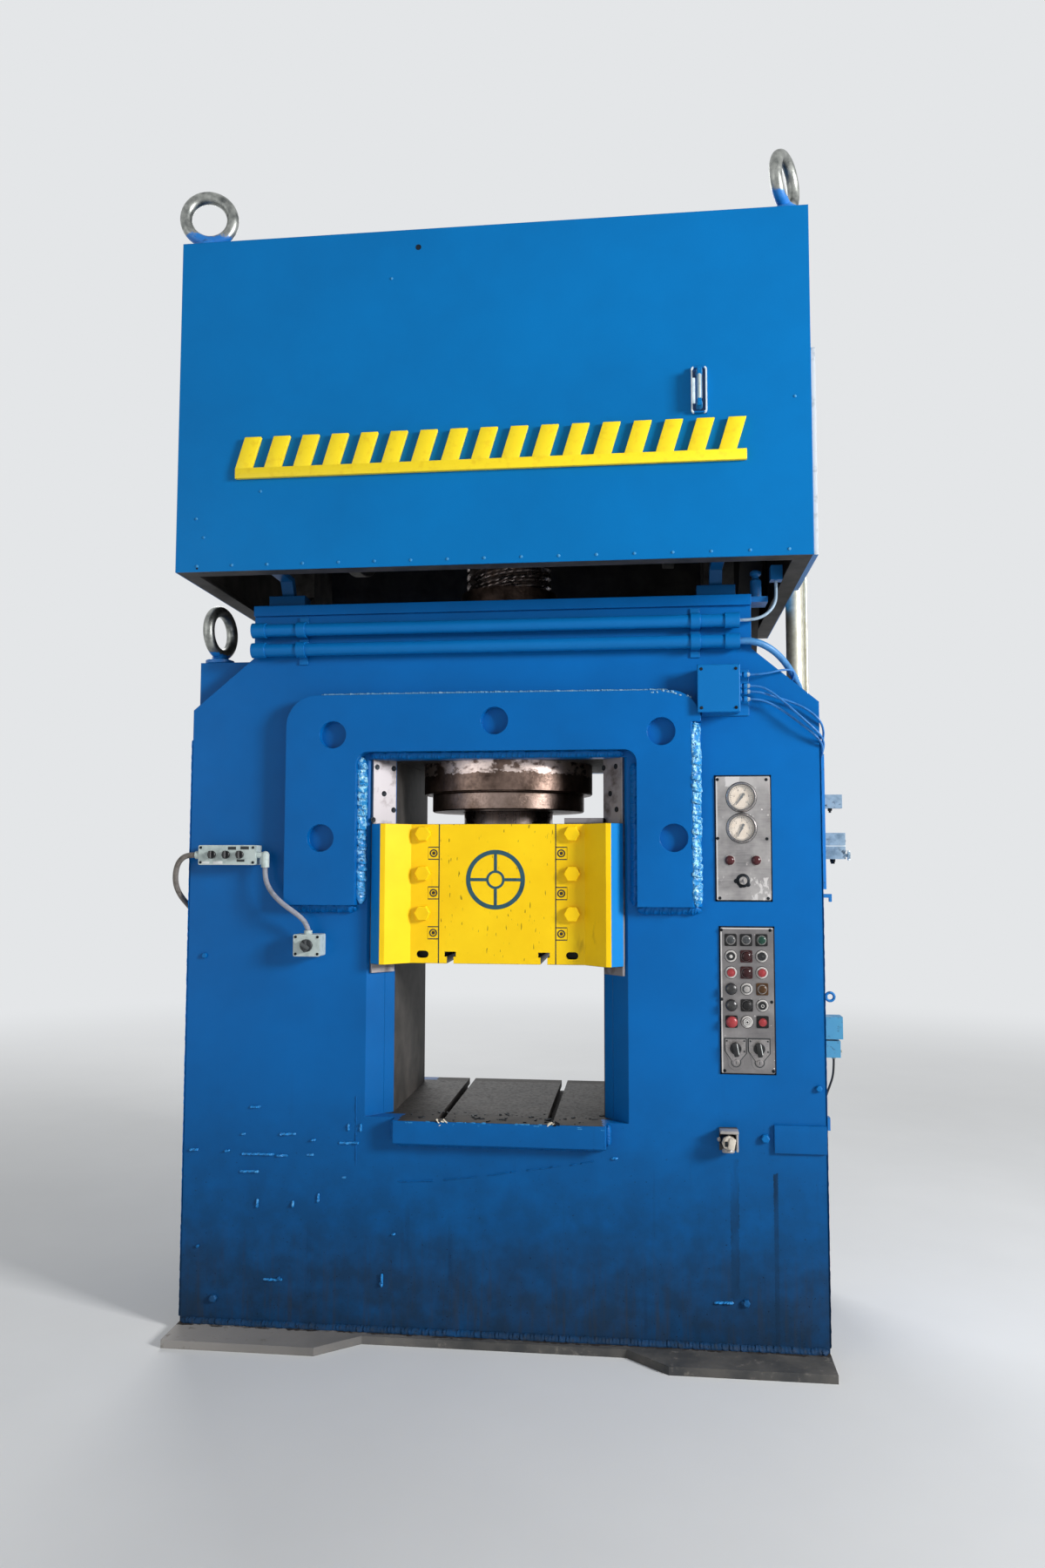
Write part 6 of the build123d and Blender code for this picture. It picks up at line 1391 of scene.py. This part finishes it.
def make_rear_details():
    """The back and top of the casing and the back of the frame, in plain guessed detail."""
    back, level = casing_depth, 2990
    hatches = Piece()
    for x in (-560, 560):
        hatches.plate(rounded_outline(x, level, 300, 300, 24), back - 1, back + 4)
    hatches.plate(rounded_outline(0, level, 190, 250, 16), back - 1, back + 3)
    slat = Matrix.Rotation(math.radians(-28), 4, "X")
    for row in range(11):
        z = 2800 + row * 38
        hatches.block((-150, 150), (back + 1, back + 12), (z - 8, z + 8), 2.0, turn=slat)
    hatches.keep("rear_hatches", "blue_paint", "casing_blue")
    bolts = Piece()
    along_edges = [*product((-1, -0.33, 0.33, 1), (-1, 1)), *product((-1, 1), (-0.33, 0.33))]
    for middle_x, half_x, half_z in ((-560, 282, 282), (560, 282, 282), (0, 176, 236)):
        for across, rise in along_edges:
            bolts.hexagon(16, 8, (middle_x + across * half_x, back + 3, level + rise * half_z), BACK)
    bolts.keep("rear_hatch_bolts", "bolt_steel", "zinc_bolt")
    cover = Piece()
    top = casing_high.z
    cover.block((-330, 330), (-270, 270), (top - 1, top + 5), 2.0)
    for x, y in product((-300, 0, 300), (-240, 240)):
        cover.hexagon(18, 9, (x, y, top + 5), UP)
    cover.keep("top_cover", "blue_paint", "casing_blue")
    seams = Piece()
    for side, face in product((-1, 1), (-1, 1)):
        corner = (side * half_width, -face * front)
        seed = 140 + side + 3 * face
        seams.bead((*corner, 40), (*corner, 1900), (side, face, 0), (side, -face, 0), 9, 3, 12, seed)
    seams.bead((-440, -front + 2, 1856), (440, -front + 2, 1856), UP, BACK, 14, 4, 9, 151)
    seams.keep("frame_corner_welds", "blue_paint", "frame_blue", closed=False)


for make in (
        make_yoke_welds, make_front_scars, make_foot_weld, make_sill_details, make_casing_trim,
        make_casing_details, make_ram_details, make_screw_thread, make_rail_screws, make_button_frames,
        make_mushrooms, make_selectors, make_lamps, make_dials, make_pointers, make_panel_trim,
        make_button_faces, make_box_details, make_side_details, make_rear_details):
    make()


# Lights, floor and room
def soft_light(name, place, width, power):
    """A square lamp that shines on the middle of the press."""
    data = bpy.data.lights.new(name, "AREA")
    data.shape = "SQUARE"
    data.size = width
    data.energy = power
    light = new_object(name, data)
    light.location = place
    direction = Vector((0, 0, 2.0)) - Vector(place)
    light.rotation_euler = direction.to_track_quat("-Z", "Y").to_euler()


soft_light("window_light", (6.0, -3.5, 3.4), 1.5, 530)
soft_light("hall_light", (-5.6, -6.5, 2.3), 4.6, 75)
soft_light("rear_light", (-2.5, 6.0, 6.0), 4.0, 260)

backdrop_tone = "#E4E6E8"


def make_floor():
    """A pale matt floor that runs out into the background's tone."""
    mesh = bmesh.new()
    reach = 40.0
    edge = ((-reach, -reach, 0), (reach, -reach, 0), (reach, reach, 0), (-reach, reach, 0))
    mesh.faces.new([mesh.verts.new(point) for point in edge])
    data = bpy.data.meshes.new("floor")
    mesh.to_mesh(data)
    mesh.free()
    new_object("floor", data)
    finish = Finish("floor_concrete", 0.85, specular=0.2)
    finish.end(finish.coats("#DFE0E0", (finish.patches(900, 0.3, 0.7), "#E4E5E5")))
    away = finish.add("VectorMath", "Value", {0: finish.place}, operation="LENGTH")
    share = finish.add("MapRange", "Result", {
        "Value": away, "From Min": 2.6, "From Max": 9.0}, interpolation_type="SMOOTHSTEP")
    glow = finish.add("Emission", 0, {"Color": backdrop_tone, "Strength": 1.0})
    mixed = finish.add("MixShader", 0, {0: share, 1: finish.shader.outputs[0], 2: glow})
    finish.tree.links.new(mixed, finish.tree.nodes["Material Output"].inputs["Surface"])
    data.materials.append(finishes["floor_concrete"])


make_floor()

# The room lights the press faintly, and is seen in the backdrop's tone
world = bpy.data.worlds.new("room")
world.use_nodes = True
scene.world = world
room = Nodes(world.node_tree)
lit = room.tree.nodes["Background"]
lit.inputs["Color"].default_value = colour("#F2F4F6")
lit.inputs["Strength"].default_value = 0.27
seen = room.add("Background", 0, {"Color": backdrop_tone, "Strength": 1.0})
rays = room.add("LightPath", 0).node.outputs
any_seen = room.add("Math", 0, {0: rays["Is Camera Ray"], 1: rays["Is Glossy Ray"]}, operation="MAXIMUM")
any_seen = room.add("Math", 0, {0: any_seen, 1: rays["Is Transmission Ray"]}, operation="MAXIMUM")
room_mix = room.add("MixShader", 0, {0: any_seen, 1: lit.outputs[0], 2: seen})
room.tree.links.new(room_mix, room.tree.nodes["World Output"].inputs["Surface"])

bpy.context.scene.view_settings.view_transform = "Standard"
